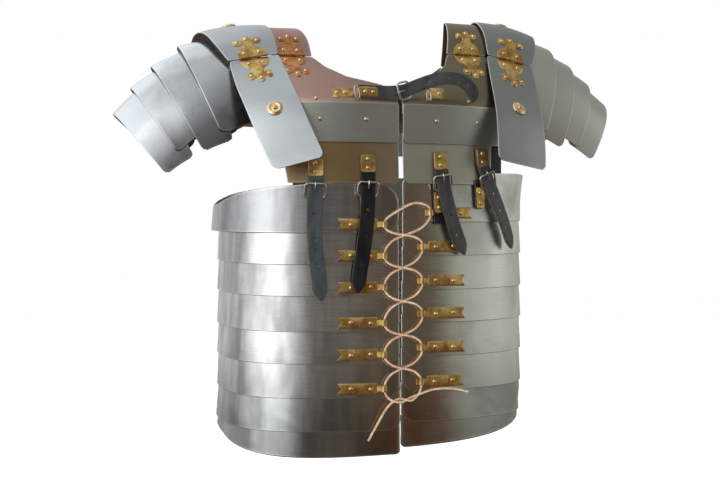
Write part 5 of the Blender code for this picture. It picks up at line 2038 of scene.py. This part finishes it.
    def hoop_rivets(self, side: Side) -> None:
        """Rivets that hold the hoops to their inner leathers, behind the sides."""
        shape = Shape()
        for index in range(len(HOOP_ROWS)):
            low, high = hoop_levels(index, side)
            v = 1 - 9 * MM / (high - low)
            for u in (0.68, 0.84):
                self.small_rivet(shape, hoop_form(index, side), (u, v), TORSO_CORE, side,
                                 PLATE + hoop_flare(index) * v)
        self.make(shape, f"hoop_rivets_{side.value}")




# ---------------------------------------------------------------- straps and buckles
@dataclass
class Ribbon:
    """The run of a strap: points along its inner face, and its breadth and outward directions."""

    points: list[Vector]
    across: list[Vector]
    outward: list[Vector]
    reach: list[float] = field(init=False)

    def __post_init__(self) -> None:
        """Measures the run."""
        self.reach = [0.0]
        for a, b in zip(self.points, self.points[1:]):
            self.reach.append(self.reach[-1] + (b - a).length)

    @property
    def length(self) -> float:
        """The length of the run."""
        return self.reach[-1]

    def axes(self, at: float) -> Axis:
        """The directions across, along and out of the run at a place along it."""
        across = self.place(MM, at, 0.0) - self.place(0.0, at, 0.0)
        along = self.place(0.0, at + MM, 0.0) - self.place(0.0, at - MM, 0.0)
        outward = self.place(0.0, at, MM) - self.place(0.0, at, 0.0)
        return across.normalized(), along.normalized(), outward.normalized()

    def place(self, x: float, y: float, height: float) -> Vector:
        """A point over the run.

        Args:
            x: How far across it is.
            y: How far along it is.
            height: How far out it is.

        Returns:
            The point.
        """
        at = min(max(y, 0.0), self.length)
        i = min(max(int(np.searchsorted(self.reach, at)) - 1, 0), len(self.points) - 2)
        share = (at - self.reach[i]) / (self.reach[i + 1] - self.reach[i])
        point = self.points[i].lerp(self.points[i + 1], share)
        across = self.across[i].lerp(self.across[i + 1], share)
        outward = self.outward[i].lerp(self.outward[i + 1], share)
        beyond = (self.points[i + 1] - self.points[i]).normalized() * (y - at)
        return point + across * x + outward * height + beyond


def torso_ribbon(rows: Sequence[Place], side: Side, face: Face, steps: int = 60) -> Ribbon:
    """A strap's run over the torso.

    Args:
        rows: Distance from the middle, stand-off from the torso form and height, in mm.
        side: The half of the armour.
        face: The front or the back.
        steps: How many stretches it is cut into.

    Returns:
        The run.
    """
    knots = [np.array(row, float) * MM for row in rows]
    spots = []
    for i in range(steps + 1):
        x, lift, z = smooth_row(knots, i / steps)
        point, normal = surface_at(side, float(x), float(z), face)
        spots.append((point, normal, float(lift)))
    points, sides, outs = [], [], []
    for i, (point, normal, lift) in enumerate(spots):
        after, before = spots[min(i + 1, steps)][0], spots[max(i - 1, 0)][0]
        across = (after - before).normalized().cross(normal).normalized()
        points.append(point + normal * lift)
        sides.append(across)
    for i, across in enumerate(sides):
        along = (points[min(i + 1, steps)] - points[max(i - 1, 0)]).normalized()
        outward = across.cross(along).normalized()
        outs.append(outward if outward.dot(spots[i][1]) > 0 else -outward)
    return Ribbon(points, sides, outs)


def strap_outline(width: float, length: float, tip: float) -> Loop:
    """A strap's outline, square at its start and rounded to a point at its end."""
    half = width / 2
    side = [(half, (length - tip) * i / 40) for i in range(41)]
    point = [(half * (1 - t ** 1.9), length - tip + tip * t) for t in np.linspace(0.1, 0.94, 9)]
    right = [*side, *point]
    return [*right, *((-x, y) for x, y in reversed(right))]


@dataclass(frozen=True)
class StrapRows:
    """One strap: where it runs and which side it hangs on."""

    side: Side
    face: Face
    rows: tuple[Place, ...]
    holes: tuple[float, ...] = (24 * MM, 52 * MM, 80 * MM)      # from its tip
    # the painted sheen that lightens the strap
    painted_sheen: StrapSheen = StrapSheen.WAXED


BACK_STRAP_ROWS = (
    (46, 3.5, -152), (46, 4.3, -172), (46, 6.2, -182), (46, 7.4, -194),
    (46, 7.0, -210), (46, 6.8, -240), (46, 7.0, -270), (46, 7.4, -296))
STRAPS = {
    "strap_1": StrapRows(Side.RIGHT, Face.FRONT, (
        (97, 3.6, -158), (97, 4.3, -172), (97, 6.2, -182), (97.5, 7.4, -196),
        (98, 7.0, -212), (98.5, 6.6, -238), (97, 6.8, -262), (94, 7.2, -290),
        (90.5, 7.6, -319)), (42 * MM, 70 * MM, 98 * MM), StrapSheen.RUBBED),
    "strap_2": StrapRows(Side.RIGHT, Face.FRONT, (
        (39.5, 3.5, -153), (39.5, 4.3, -170), (39.5, 6.2, -181), (40, 7.4, -194),
        (40, 7.0, -210), (42, 6.6, -237), (45, 6.6, -262), (49, 7.0, -286),
        (51.5, 7.4, -311)), (34 * MM, 66 * MM, 96 * MM)),
    "strap_3": StrapRows(Side.LEFT, Face.FRONT, (
        (47, 3.4, -149), (47.5, 4.2, -163), (48, 6.2, -172), (49.5, 7.4, -184),
        (52, 8.4, -198), (58, 9.0, -221), (65, 9.5, -243), (75, 10.5, -268)),
        (26 * MM, 50 * MM, 76 * MM), StrapSheen.GREYED),
    "strap_4": StrapRows(Side.LEFT, Face.FRONT, (
        (101.5, 3.4, -144), (102, 4.2, -159), (104, 6.2, -168), (107.5, 7.4, -180),
        (114.5, 9.0, -196), (123.5, 10.0, -217), (132, 10.5, -238), (140, 11.0, -261)),
        (28 * MM, 50 * MM, 72 * MM), StrapSheen.GREYED),
    "back_strap_right": StrapRows(Side.RIGHT, Face.BACK, BACK_STRAP_ROWS),
    "back_strap_left": StrapRows(Side.LEFT, Face.BACK, BACK_STRAP_ROWS),
}
# the short straps on the top hoops: distance from the middle, stand-off and height, mm
ANCHORS = {
    "strap_2": ((43.0, 3.7, -190), (42.5, 3.9, -207), (42.5, 4.0, -224.5)),
    "strap_3": ((44.5, 4.1, -186), (45.0, 4.3, -205), (46.0, 4.7, -232)),
    "strap_4": ((98.0, 4.1, -180), (98.5, 4.2, -198), (99.0, 4.4, -214)),
}
ANCHOR_WIDTH = 13 * MM
ANCHOR_TIP = 3 * MM
ANCHOR_PLATE = (11.5 * MM, 24 * MM)
ANCHOR_PLATE_START = 9 * MM
PLATE_BASE = LEATHER + 0.08 * MM        # the height of a brass plate's underside on a strap
BUCKLE_ROW = 3              # the row of a strap that its buckle is at


HOLE_RADIUS = 1.35 * MM


def leather(name: str, ribbon: Ribbon, width: float, tip: float, holes: Sequence[float],
            finish: Material, stands_for: Sequence[str] = ()) -> None:
    """Makes a strap's leather with its holes.

    Args:
        name: The piece's name.
        ribbon: Its run.
        width: Its width.
        tip: The length of its pointed end.
        holes: The distances of its holes from its end.
        finish: Its material.
        stands_for: The CAD nodes that it replaces.
    """
    shape, length = Shape(), ribbon.length
    shape.cutout(strap_outline(width, length, tip), ribbon.place, 0.0, LEATHER,
                 [hole_loop(0.0, length - hole, HOLE_RADIUS) for hole in holes],
                 pitch=3.4 * MM, edge=0.35 * MM, edge_rim=1.0, back=True)
    piece = shape.make(name, [finish], Slot.HIDE, ROOT, stands_for, sharp=50)


@dataclass
class Buckle:
    """A wire buckle: a rounded frame and a tongue that rests on its top bar."""

    size: Spot = (23 * MM, 15.5 * MM)       # its width and height
    tilt: float = 2.1 * MM      # how far its top bar stands out, and its lower bar in
    wire: float = 1.25 * MM
    bend: float = 3.6 * MM

    def make(self, name: str, node: str, ribbon: Ribbon, at: float, nickel: Material) -> None:
        """Makes the buckle.

        Args:
            name: The piece's name.
            node: The CAD node that it replaces.
            ribbon: The run of its strap.
            at: Where along the run it is.
            nickel: Its material.
        """
        shape = Shape()
        width, height = self.size
        centre = ribbon.place(0.0, at, LEATHER * 0.5)
        across, along, outward = ribbon.axes(at)
        route = []
        for i, (right, low) in enumerate(((1, 1), (-1, 1), (-1, -1), (1, -1))):
            for step in range(7):
                angle = math.radians(90 * i + 15 * step)
                x = right * (width / 2 - self.bend) + self.bend * math.cos(angle)
                y = low * (height / 2 - self.bend) + self.bend * math.sin(angle)
                bow = 0.8 * MM * (1 - (2 * x / width) ** 2) * (-low)
                route.append(centre + across * x + along * y
                             - outward * (self.tilt * 2 * y / height - max(bow, 0.0)))
        shape.wire(route, self.wire, closed=True, sides=12, outward=outward)
        top = centre - along * (height / 2) + outward * self.tilt
        curl = self.wire * 1.7
        tongue = [top + outward * (curl * math.sin(math.radians(a)))
                  - along * (curl * math.cos(math.radians(a))) for a in range(-60, 91, 25)]
        tongue += [top + along * (3.5 * MM) + outward * 1.4 * MM,
                   top + along * (7.0 * MM) + outward * 0.2 * MM]
        shape.wire(tongue, 0.95 * MM, sides=10, flat=0.8, outward=across)
        shape.make(name, [nickel], Slot.NICKEL, stands_for=[node])


@dataclass
class Straps:
    """The buckled straps between the chest and the girdle, front and back."""

    finishes: Finishes
    plate: Spot = (16.6 * MM, 20.5 * MM)        # its brass plate's breadth and length

    def brass_plate(self, name: str, ribbon: Ribbon, start: float, size: Spot) -> None:
        """Makes the riveted brass plate over a strap's end.

        Args:
            name: The piece's name.
            ribbon: The strap's run.
            start: Where along the run it starts.
            size: Its breadth and length.
        """
        shape = Shape()
        half, length, soft = size[0] / 2, size[1], 2.2 * MM
        corners = [*arc(half - soft, start + soft, soft, -90, 0, 3),
                   *arc(half - soft, start + length - soft, soft, 0, 90, 3)]
        outline = [*corners, *((-x, y) for x, y in reversed(corners))]
        shape.cutout(outline, ribbon.place, PLATE_BASE, PLATE_BASE + BRASS)
        shape.coat = 1
        for share in (0.27, 0.76):
            rivet(shape, ribbon.place, 0.4 * MM, start + length * share, PLATE_BASE + BRASS,
                  radius=2.5 * MM, height=1.5 * MM)
        shape.make(name, self.finishes.riveted, Slot.BRASS)

    def build(self) -> None:
        """Makes each strap with its plates and its buckle."""
        for name, strap in STRAPS.items():
            ribbon = torso_ribbon(strap.rows, strap.side, strap.face)
            leather(f"{name}_leather", ribbon, STRAP_WIDTH, STRAP_TIP, strap.holes,
                    self.finishes.hides[strap.painted_sheen], [name])
            self.brass_plate(f"{name}_plate", ribbon, 0.5 * MM, self.plate)
            at = ribbon.reach[round(BUCKLE_ROW / (len(strap.rows) - 1)
                                    * (len(ribbon.points) - 1))]
            Buckle().make(f"{name}_buckle", "buckle_" + name, ribbon, at, self.finishes.nickel)
            if name in ANCHORS:
                run = torso_ribbon(ANCHORS[name], strap.side, strap.face, 24)
                leather(f"{name}_anchor", run, ANCHOR_WIDTH, ANCHOR_TIP, (),
                        self.finishes.hides[StrapSheen.WAXED])
                self.brass_plate(f"{name}_anchor_plate", run, ANCHOR_PLATE_START, ANCHOR_PLATE)


# the neck strap's run, from its fixed end: a point, and degrees that it is rolled, mm
NECK_STRAP_ROWS = (
    ((-50, -124.3, -82.5), 0), ((-40, -125.0, -82.5), 0), ((-26, -125.6, -82.8), 0),
    ((-10, -126.0, -82.5), 0), ((4, -127.5, -80.5), 0), ((18, -130.5, -75.0), -6),
    ((34, -135.5, -69.0), -12), ((50, -138.0, -65.8), -14), ((66, -137.0, -66.5), -8),
    ((80, -133.0, -72.5), 4), ((88, -128.5, -82.0), 12), ((86.5, -127.0, -93.0), 8),
)
NECK_BUCKLE_ROW = 4


@dataclass
class NeckFastening:
    """The strap that fastens the two collar plates over the breast."""

    finishes: Finishes
    pieces: int = 7             # how many stretches there are from row to row
    plate_height: float = -83.5 * MM

    def ribbon(self) -> Ribbon:
        """The neck strap's run, rolled a little about itself."""
        knots = [np.array((*at, roll / MM), float) * MM for at, roll in NECK_STRAP_ROWS]
        steps = self.pieces * (len(knots) - 1)
        spots = [smooth_row(knots, i / steps) for i in range(steps + 1)]
        points = [Vector(spot[:3]) for spot in spots]
        sides, outs = [], []
        for i, spot in enumerate(spots):
            along = (points[min(i + 1, steps)] - points[max(i - 1, 0)]).normalized()
            outward = Vector((0, -1, 0)) + along * along.y
            outward.normalize()
            turn = Matrix.Rotation(math.radians(float(spot[3])), 3, along)
            sides.append(turn @ along.cross(outward).normalized())
            outs.append(turn @ outward)
        return Ribbon(points, sides, outs)

    def build(self) -> None:
        """Makes the strap, its buckle and its brass plates."""
        ribbon = self.ribbon()
        leather("neck_strap_leather", ribbon, NECK_STRAP_WIDTH, NECK_STRAP_TIP,
                (26 * MM, 52 * MM, 76 * MM, 112 * MM),
                self.finishes.hides[StrapSheen.GREYED], ["neck_strap"])
        Buckle(size=(20 * MM, 14 * MM), tilt=2.0 * MM, wire=1.15 * MM).make(
            "neck_buckle_frame", "neck_buckle", ribbon,
            ribbon.reach[NECK_BUCKLE_ROW * self.pieces], self.finishes.nickel)
        brass = Shape()
        over_end = [(5.6 * MM, -1 * MM), *arc(2.2 * MM, 19.5 * MM, 3.4 * MM, 0, 90, 4),
                    *arc(-2.2 * MM, 19.5 * MM, 3.4 * MM, 90, 180, 4), (-5.6 * MM, -1 * MM)]
        self.plate(brass, over_end, ribbon.place, (PLATE_BASE, PLATE_BASE + BRASS),
                   ((0.2 * MM, 8 * MM), (0.2 * MM, 17 * MM)))
        for side, near, far, spots in ((Side.RIGHT, 53.0, 78.0, (10.0, 19.0)),
                                       (Side.LEFT, 35.5, 58.5, (15.0,))):
            length = (far - near) * MM
            fishtail = [(0.0, -5.6 * MM), (length, -6.4 * MM), (length - 4 * MM, 0.0),
                        (length, 6.4 * MM), (0.0, 5.6 * MM)]
            self.plate(brass, fishtail, self.on_collar(side, near * MM), (SEAT, BRASS),
                       [(x * MM, 0.0) for x in spots])
        brass.make("neck_plates", self.finishes.riveted, Slot.BRASS)
        self.loops()

    def plate(self, shape: Shape, outline: Loop, placer: Placer, heights: Spot,
              spots: Loop) -> None:
        """Adds a riveted brass plate.

        Args:
            shape: The piece that it belongs to.
            outline: Its outline.
            placer: What it lies on.
            heights: The heights of its underside and its face.
            spots: The places of its rivets.
        """
        shape.coat = 0
        shape.cutout(outline, placer, *heights)
        shape.coat = 1
        for spot in spots:
            rivet(shape, placer, *spot, heights[1], 2.3 * MM, 1.3 * MM)

    def on_collar(self, side: Side, near: float) -> Placer:
        """The placer of a fixed plate that starts at this distance from the middle."""
        surface = placer_on(lambda x, z: chest_point(x, z, Face.FRONT, side), side, PLATE)

        def placer(x: float, y: float, height: float) -> Vector:
            """The point over the collar plate."""
            return surface(near + x, self.plate_height + y, height)

        return placer

    def loops(self) -> None:
        """Makes the wire loops that join the fixed plates to the strap."""
        wires = Shape()
        for x, y, z, lean in ((-51.5, -126.5, -83.5, 0.16), (33.5, -129.0, -84.0, 0.1)):
            middle = Vector((x, y, z)) * MM
            route = []
            for angle in (math.tau * i / 28 for i in range(28)):
                cx, cz = (math.copysign(abs(share) ** 0.62, share) * reach for share, reach in (
                    (math.cos(angle), 2.6 * MM), (math.sin(angle), 6.6 * MM)))
                route.append(middle + Vector((cx - cz * lean, -0.12 * cx, cz)))
            wires.wire(route, 0.85 * MM, closed=True, sides=10, outward=Vector((0, -1, 0)))
        wires.make("neck_loops", [self.finishes.nickel], Slot.NICKEL)


# ---------------------------------------------------------------- laces
LACE_STRETCH = 9 * MM
LACE_BULGE = (0.13, 0.11)
# the lace over the top of the gap, left to right, and its two free ends: x, stand-off, z in mm
LACE_ARC = {
    Face.FRONT: ((29, 8, -210), (14, 9.5, -207.5), (-4, 9.5, -216)),
    Face.BACK: ((26, 9, -197.5), (8, 9.5, -199), (-10, 9, -211)),
}
LACE_ENDS = {
    Face.FRONT: {
        "from_right": ((-15, 8, -431), (-3, 10.5, -434), (9, 7, -429), (21, 7.5, -425),
                       (33, 8, -421), (48, 8, -419.5), (66, 7, -421), (82, 6.5, -425)),
        "from_left": ((21, 8, -423), (9, 10.5, -433), (-3, 7, -428.5), (-14, 9, -434),
                      (-20, 9, -441), (-27, 8.5, -453), (-40, 8, -476)),
    },
    Face.BACK: {
        "from_right": ((-15, 8, -424), (-3, 10.5, -427), (9, 7, -423), (18, 8, -430),
                       (22, 8, -446), (24, 8, -466)),
        "from_left": ((21, 8, -418), (9, 10.5, -426), (-3, 7, -422), (-12, 8, -432),
                      (-17, 8, -448), (-19, 8, -470)),
    },
}


@dataclass
class Laces:
    """The leather thongs that criss-cross the gaps through the tie eyes."""

    finishes: Finishes

    def eyes(self, face: Face) -> dict[tuple[Side, int], Vector]:
        """The middles of a face's eyes."""
        return {(side, i): eye_place(i, side, face)[0] for side in Side
                for i in range(TIED_HOOPS)}

    def knots(self, face: Face) -> list[Vector]:
        """The points that the lace's route passes through, from one free end to the other."""
        eyes = self.eyes(face)
        straight = Vector((0, 0, EYE_HEIGHT / 2 + 1.5 * MM))

        def crossing(i: int, strand: float) -> Vector:
            """Where two strands cross between hoops i and i + 1."""
            around = [eyes[side, k] for side in Side for k in (i, i + 1)]
            point = sum(around, Vector()) / 4
            point.y += face.facing * (0.5 * MM + strand * CROSS_LIFT)
            return point

        def rounded(cross: Vector, end: Vector, eye: Vector) -> Vector:
            """A point that rounds the lace's way between a crossing and an eye."""
            point = cross.lerp(end, 0.5)
            point.x += (eye.x - cross.x) * LACE_BULGE[0]
            point.z += (cross.z - eye.z) * LACE_BULGE[1]
            return point

        def strand(first: Side, downwards: bool, weight: int) -> list[Vector]:
            """One strand's points.

            Args:
                first: Whose top eye it starts at.
                downwards: Whether its points run down.
                weight: 1 if it starts under the other strand, and -1 over it.

            Returns:
                Its points, from the top eyes down, or up.
            """
            points: list[Vector] = []
            side = first
            for i in range(TIED_HOOPS):
                eye = eyes[side, i]
                if i:
                    points.append(rounded(points[-1], eye + straight, eye))
                points += [eye + straight, eye - straight]
                if i < TIED_HOOPS - 1:
                    below = crossing(i, weight * (1 if i % 2 else -1))
                    points += [rounded(below, eye - straight, eye), below]
                side = Side.LEFT if side is Side.RIGHT else Side.RIGHT
            return points if downwards else points[::-1]

        top = [Vector((x * MM, face.facing * (HALF_DEPTH + lift * MM), z * MM))
               for x, lift, z in LACE_ARC[face]]
        start = [self.end_point(row, face) for row in LACE_ENDS[face]["from_right"]]
        finish = [self.end_point(row, face) for row in LACE_ENDS[face]["from_left"]]
        return (start[::-1] + strand(Side.LEFT, False, 1) + top
                + strand(Side.RIGHT, True, -1) + finish)

    def end_point(self, row: Place, face: Face) -> Vector:
        """A point of a free end."""
        x, lift, z = row
        side = Side.LEFT if x > 0 else Side.RIGHT
        point, normal = surface_at(side, abs(x) * MM, z * MM, face)
        return point + normal * lift * MM

    def route(self, face: Face) -> list[np.ndarray]:
        """The lace's smooth route."""
        knots = [np.array(point) for point in self.knots(face)]
        spans = len(knots) - 1
        route = [knots[0]]
        for i in range(spans):
            pieces = max(1, round(float(np.linalg.norm(knots[i + 1] - knots[i])) / LACE_STRETCH))
            route += [smooth_row(knots, (i + k / pieces) / spans) for k in range(1, pieces + 1)]
        return route

    def build(self) -> None:
        """Makes both laces."""
        for face in Face:
            route = self.route(face)
            name = f"lace_{face.value}"
            curve = bpy.data.curves.new(name + "_thong", "CURVE")
            curve.dimensions = "3D"
            curve.bevel_depth = LACE_RADIUS
            curve.bevel_resolution = 4
            curve.use_fill_caps = True
            line = curve.splines.new("NURBS")
            line.points.add(len(route) - 1)
            for spot, point in zip(line.points, route):
                spot.co = (*point, 1)
            line.order_u = 3
            line.use_endpoint_u = True
            line.resolution_u = 4
            curve.materials.append(self.finishes.thong)
            piece = bpy.data.objects.new(name + "_thong", curve)
            bpy.context.scene.collection.objects.link(piece)
            fixed(piece, Slot.THONG, ROOT, [name])
            length = sum(float(np.linalg.norm(b - a)) for a, b in zip(route, route[1:]))
            tuple(float(v) for v in route[0])
            LOG.info("%s is %.3f m long", piece.name, length)


# ---------------------------------------------------------------- the studio
@dataclass
class Studio:
    """A pale floor, soft light from the upper left and a level camera. The units are metres."""

    distance: float = 1.75
    yaw: float = 18.0               # degrees that the camera stands to the wearer's right
    height: float = -0.25
    lens: float = 71.7
    shift: float = -0.0083
    floor_height: float = -0.85
    floor_radius: float = 9.0
    floor_glow: float = 0.62

    def camera(self) -> None:
        """Sets up the camera."""
        data = bpy.data.cameras.new("camera")
        data.sensor_width = 36.0
        data.lens = self.lens
        data.shift_x = self.shift
        camera = bpy.data.objects.new("camera", data)
        yaw = math.radians(self.yaw)
        camera.location = (-self.distance * math.sin(yaw), -self.distance * math.cos(yaw),
                           self.height)
        camera.rotation_euler = (math.radians(90), 0.0, -yaw)
        bpy.context.scene.collection.objects.link(camera)
        bpy.context.scene.camera = camera

    def lamp(self, name: str, spot: Place, size: Spot, power: float) -> None:
        """A soft box that faces the armour.

        Args:
            name: Its name.
            spot: Where it stands.
            size: Its width and height.
            power: Its power in watts.
        """
        data = bpy.data.lights.new(name, "AREA")
        data.shape = "RECTANGLE"
        data.size, data.size_y = size
        data.energy = power
        lamp = bpy.data.objects.new(name, data)
        lamp.location = spot
        aim = Vector((0.0, 0.0, self.height)) - Vector(spot)
        lamp.rotation_euler = aim.to_track_quat("-Z", "Y").to_euler()
        bpy.context.scene.collection.objects.link(lamp)

    def room(self) -> None:
        """The walls of the studio, which the polished plates mirror."""
        bpy.context.scene.view_settings.view_transform = "Standard"
        world = bpy.data.worlds.new("studio")
        world.use_nodes = True
        bpy.context.scene.world = world
        world.node_tree.nodes.clear()
        room = Nodes(world.node_tree, "Generated")
        turn = room.sum(room.part_of("X"), room.times(room.part_of("Y"), -1.0), "ARCTAN2")
        turn = room.spread(turn, -math.pi, math.pi)
        walls, upper_walls, ceiling = (
            room.tints(turn, [((degrees + 180) / 360, colour) for degrees, colour in ring])
            for ring in (WALLS, UPPER_WALLS, CEILING))
        up = room.part_of("Z")
        light = room.blend(room.spread(up, 0.12, 0.5), walls, upper_walls)
        light = room.blend(room.spread(up, 0.75, 0.97), light, ceiling)
        light = room.blend(room.spread(up, -0.03, -0.25), light, GROUND)
        choose = room.add("ShaderNodeMixShader")
        room.join(room.add("ShaderNodeLightPath").outputs["Is Camera Ray"],
                  choose.inputs["Fac"])
        for number, colour in ((1, light), (2, WHITE)):
            backdrop = room.add("ShaderNodeBackground")
            room.join(colour, backdrop.inputs["Color"])
            room.join(backdrop.outputs[0], choose.inputs[number])
        room.join(choose.outputs[0], room.add("ShaderNodeOutputWorld").inputs["Surface"])

    def floor(self) -> None:
        """A broad pale floor."""
        maker = bmesh.new()
        bmesh.ops.create_circle(maker, cap_ends=True, segments=64,
                                radius=self.floor_radius)
        mesh = bpy.data.meshes.new("studio_floor")
        maker.to_mesh(mesh)
        maker.free()
        mesh.materials.append(Recipe("pale floor paint").finish(
            (0.9, 0.9, 0.9), 0.9, Emission_Color=WHITE, Emission_Strength=self.floor_glow))
        floor = bpy.data.objects.new("studio_floor", mesh)
        floor.location.z = self.floor_height
        bpy.context.scene.collection.objects.link(floor)
        floor.visible_glossy = False

    def build(self) -> None:
        """Builds the studio."""
        self.camera()
        self.room()
        self.floor()
        self.lamp("key", (-1.5, -2.3, 1.4), (2.0, 2.0), 6)
        self.lamp("side", (2.2, -0.6, 0.6), (0.8, 1.6), 2)


# the light that comes from each side, level, from higher up and from overhead, by degrees from
# the front round to the wearer's left
WALLS = [
    (-180, (0.60, 0.60, 0.60)), (-135, (0.52, 0.52, 0.52)), (-110, (0.80, 0.80, 0.80)),
    (-92, (1.1, 1.11, 1.1)), (-74, (1.6, 1.62, 1.6)), (-58, (1.8, 1.82, 1.8)),
    (-44, (1.5, 1.5, 1.48)), (-32, (0.62, 0.61, 0.59)), (-22, (0.13, 0.115, 0.10)),
    (31, (0.11, 0.085, 0.06)), (42, (0.45, 0.45, 0.41)), (50, (0.52, 0.53, 0.49)),
    (110, (0.48, 0.50, 0.46)), (150, (0.40, 0.40, 0.39)), (180, (0.60, 0.60, 0.60)),
]
UPPER_WALLS = [
    (-180, (1.0, 1.03, 1.05)), (-120, (1.05, 1.08, 1.1)), (-78, (1.08, 1.12, 1.14)),
    (-50, (1.0, 1.03, 1.05)), (-34, (0.72, 0.74, 0.75)), (-15, (0.52, 0.54, 0.55)),
    (20, (0.32, 0.33, 0.31)), (70, (0.26, 0.27, 0.25)), (120, (0.34, 0.35, 0.33)),
    (155, (0.46, 0.47, 0.47)), (180, (1.0, 1.03, 1.05)),
]
CEILING = [
    (-180, (0.86, 0.89, 0.91)), (-130, (0.95, 0.99, 1.01)), (-60, (0.60, 0.62, 0.63)),
    (0, (0.50, 0.52, 0.53)), (50, (0.42, 0.43, 0.43)), (120, (0.40, 0.41, 0.41)),
    (150, (0.48, 0.50, 0.51)), (180, (0.86, 0.89, 0.91)),
]
GROUND = (0.13, 0.095, 0.075)
WHITE = (1.0, 1.0, 1.0)


def main() -> None:
    """Builds the armour, piece by piece, in its studio."""
    logging.basicConfig(level=logging.INFO, format="%(message)s")
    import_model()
    Studio().build()
    finishes = Finishes()
    for assembly in (Laces, Girdle, Chest, Shoulders, Ties, LobedHinges, Rivets, Straps,
                     NeckFastening):
        LOG.info("%s", assembly.__name__)
        assembly(finishes).build()


if __name__ == "__main__":
    main()
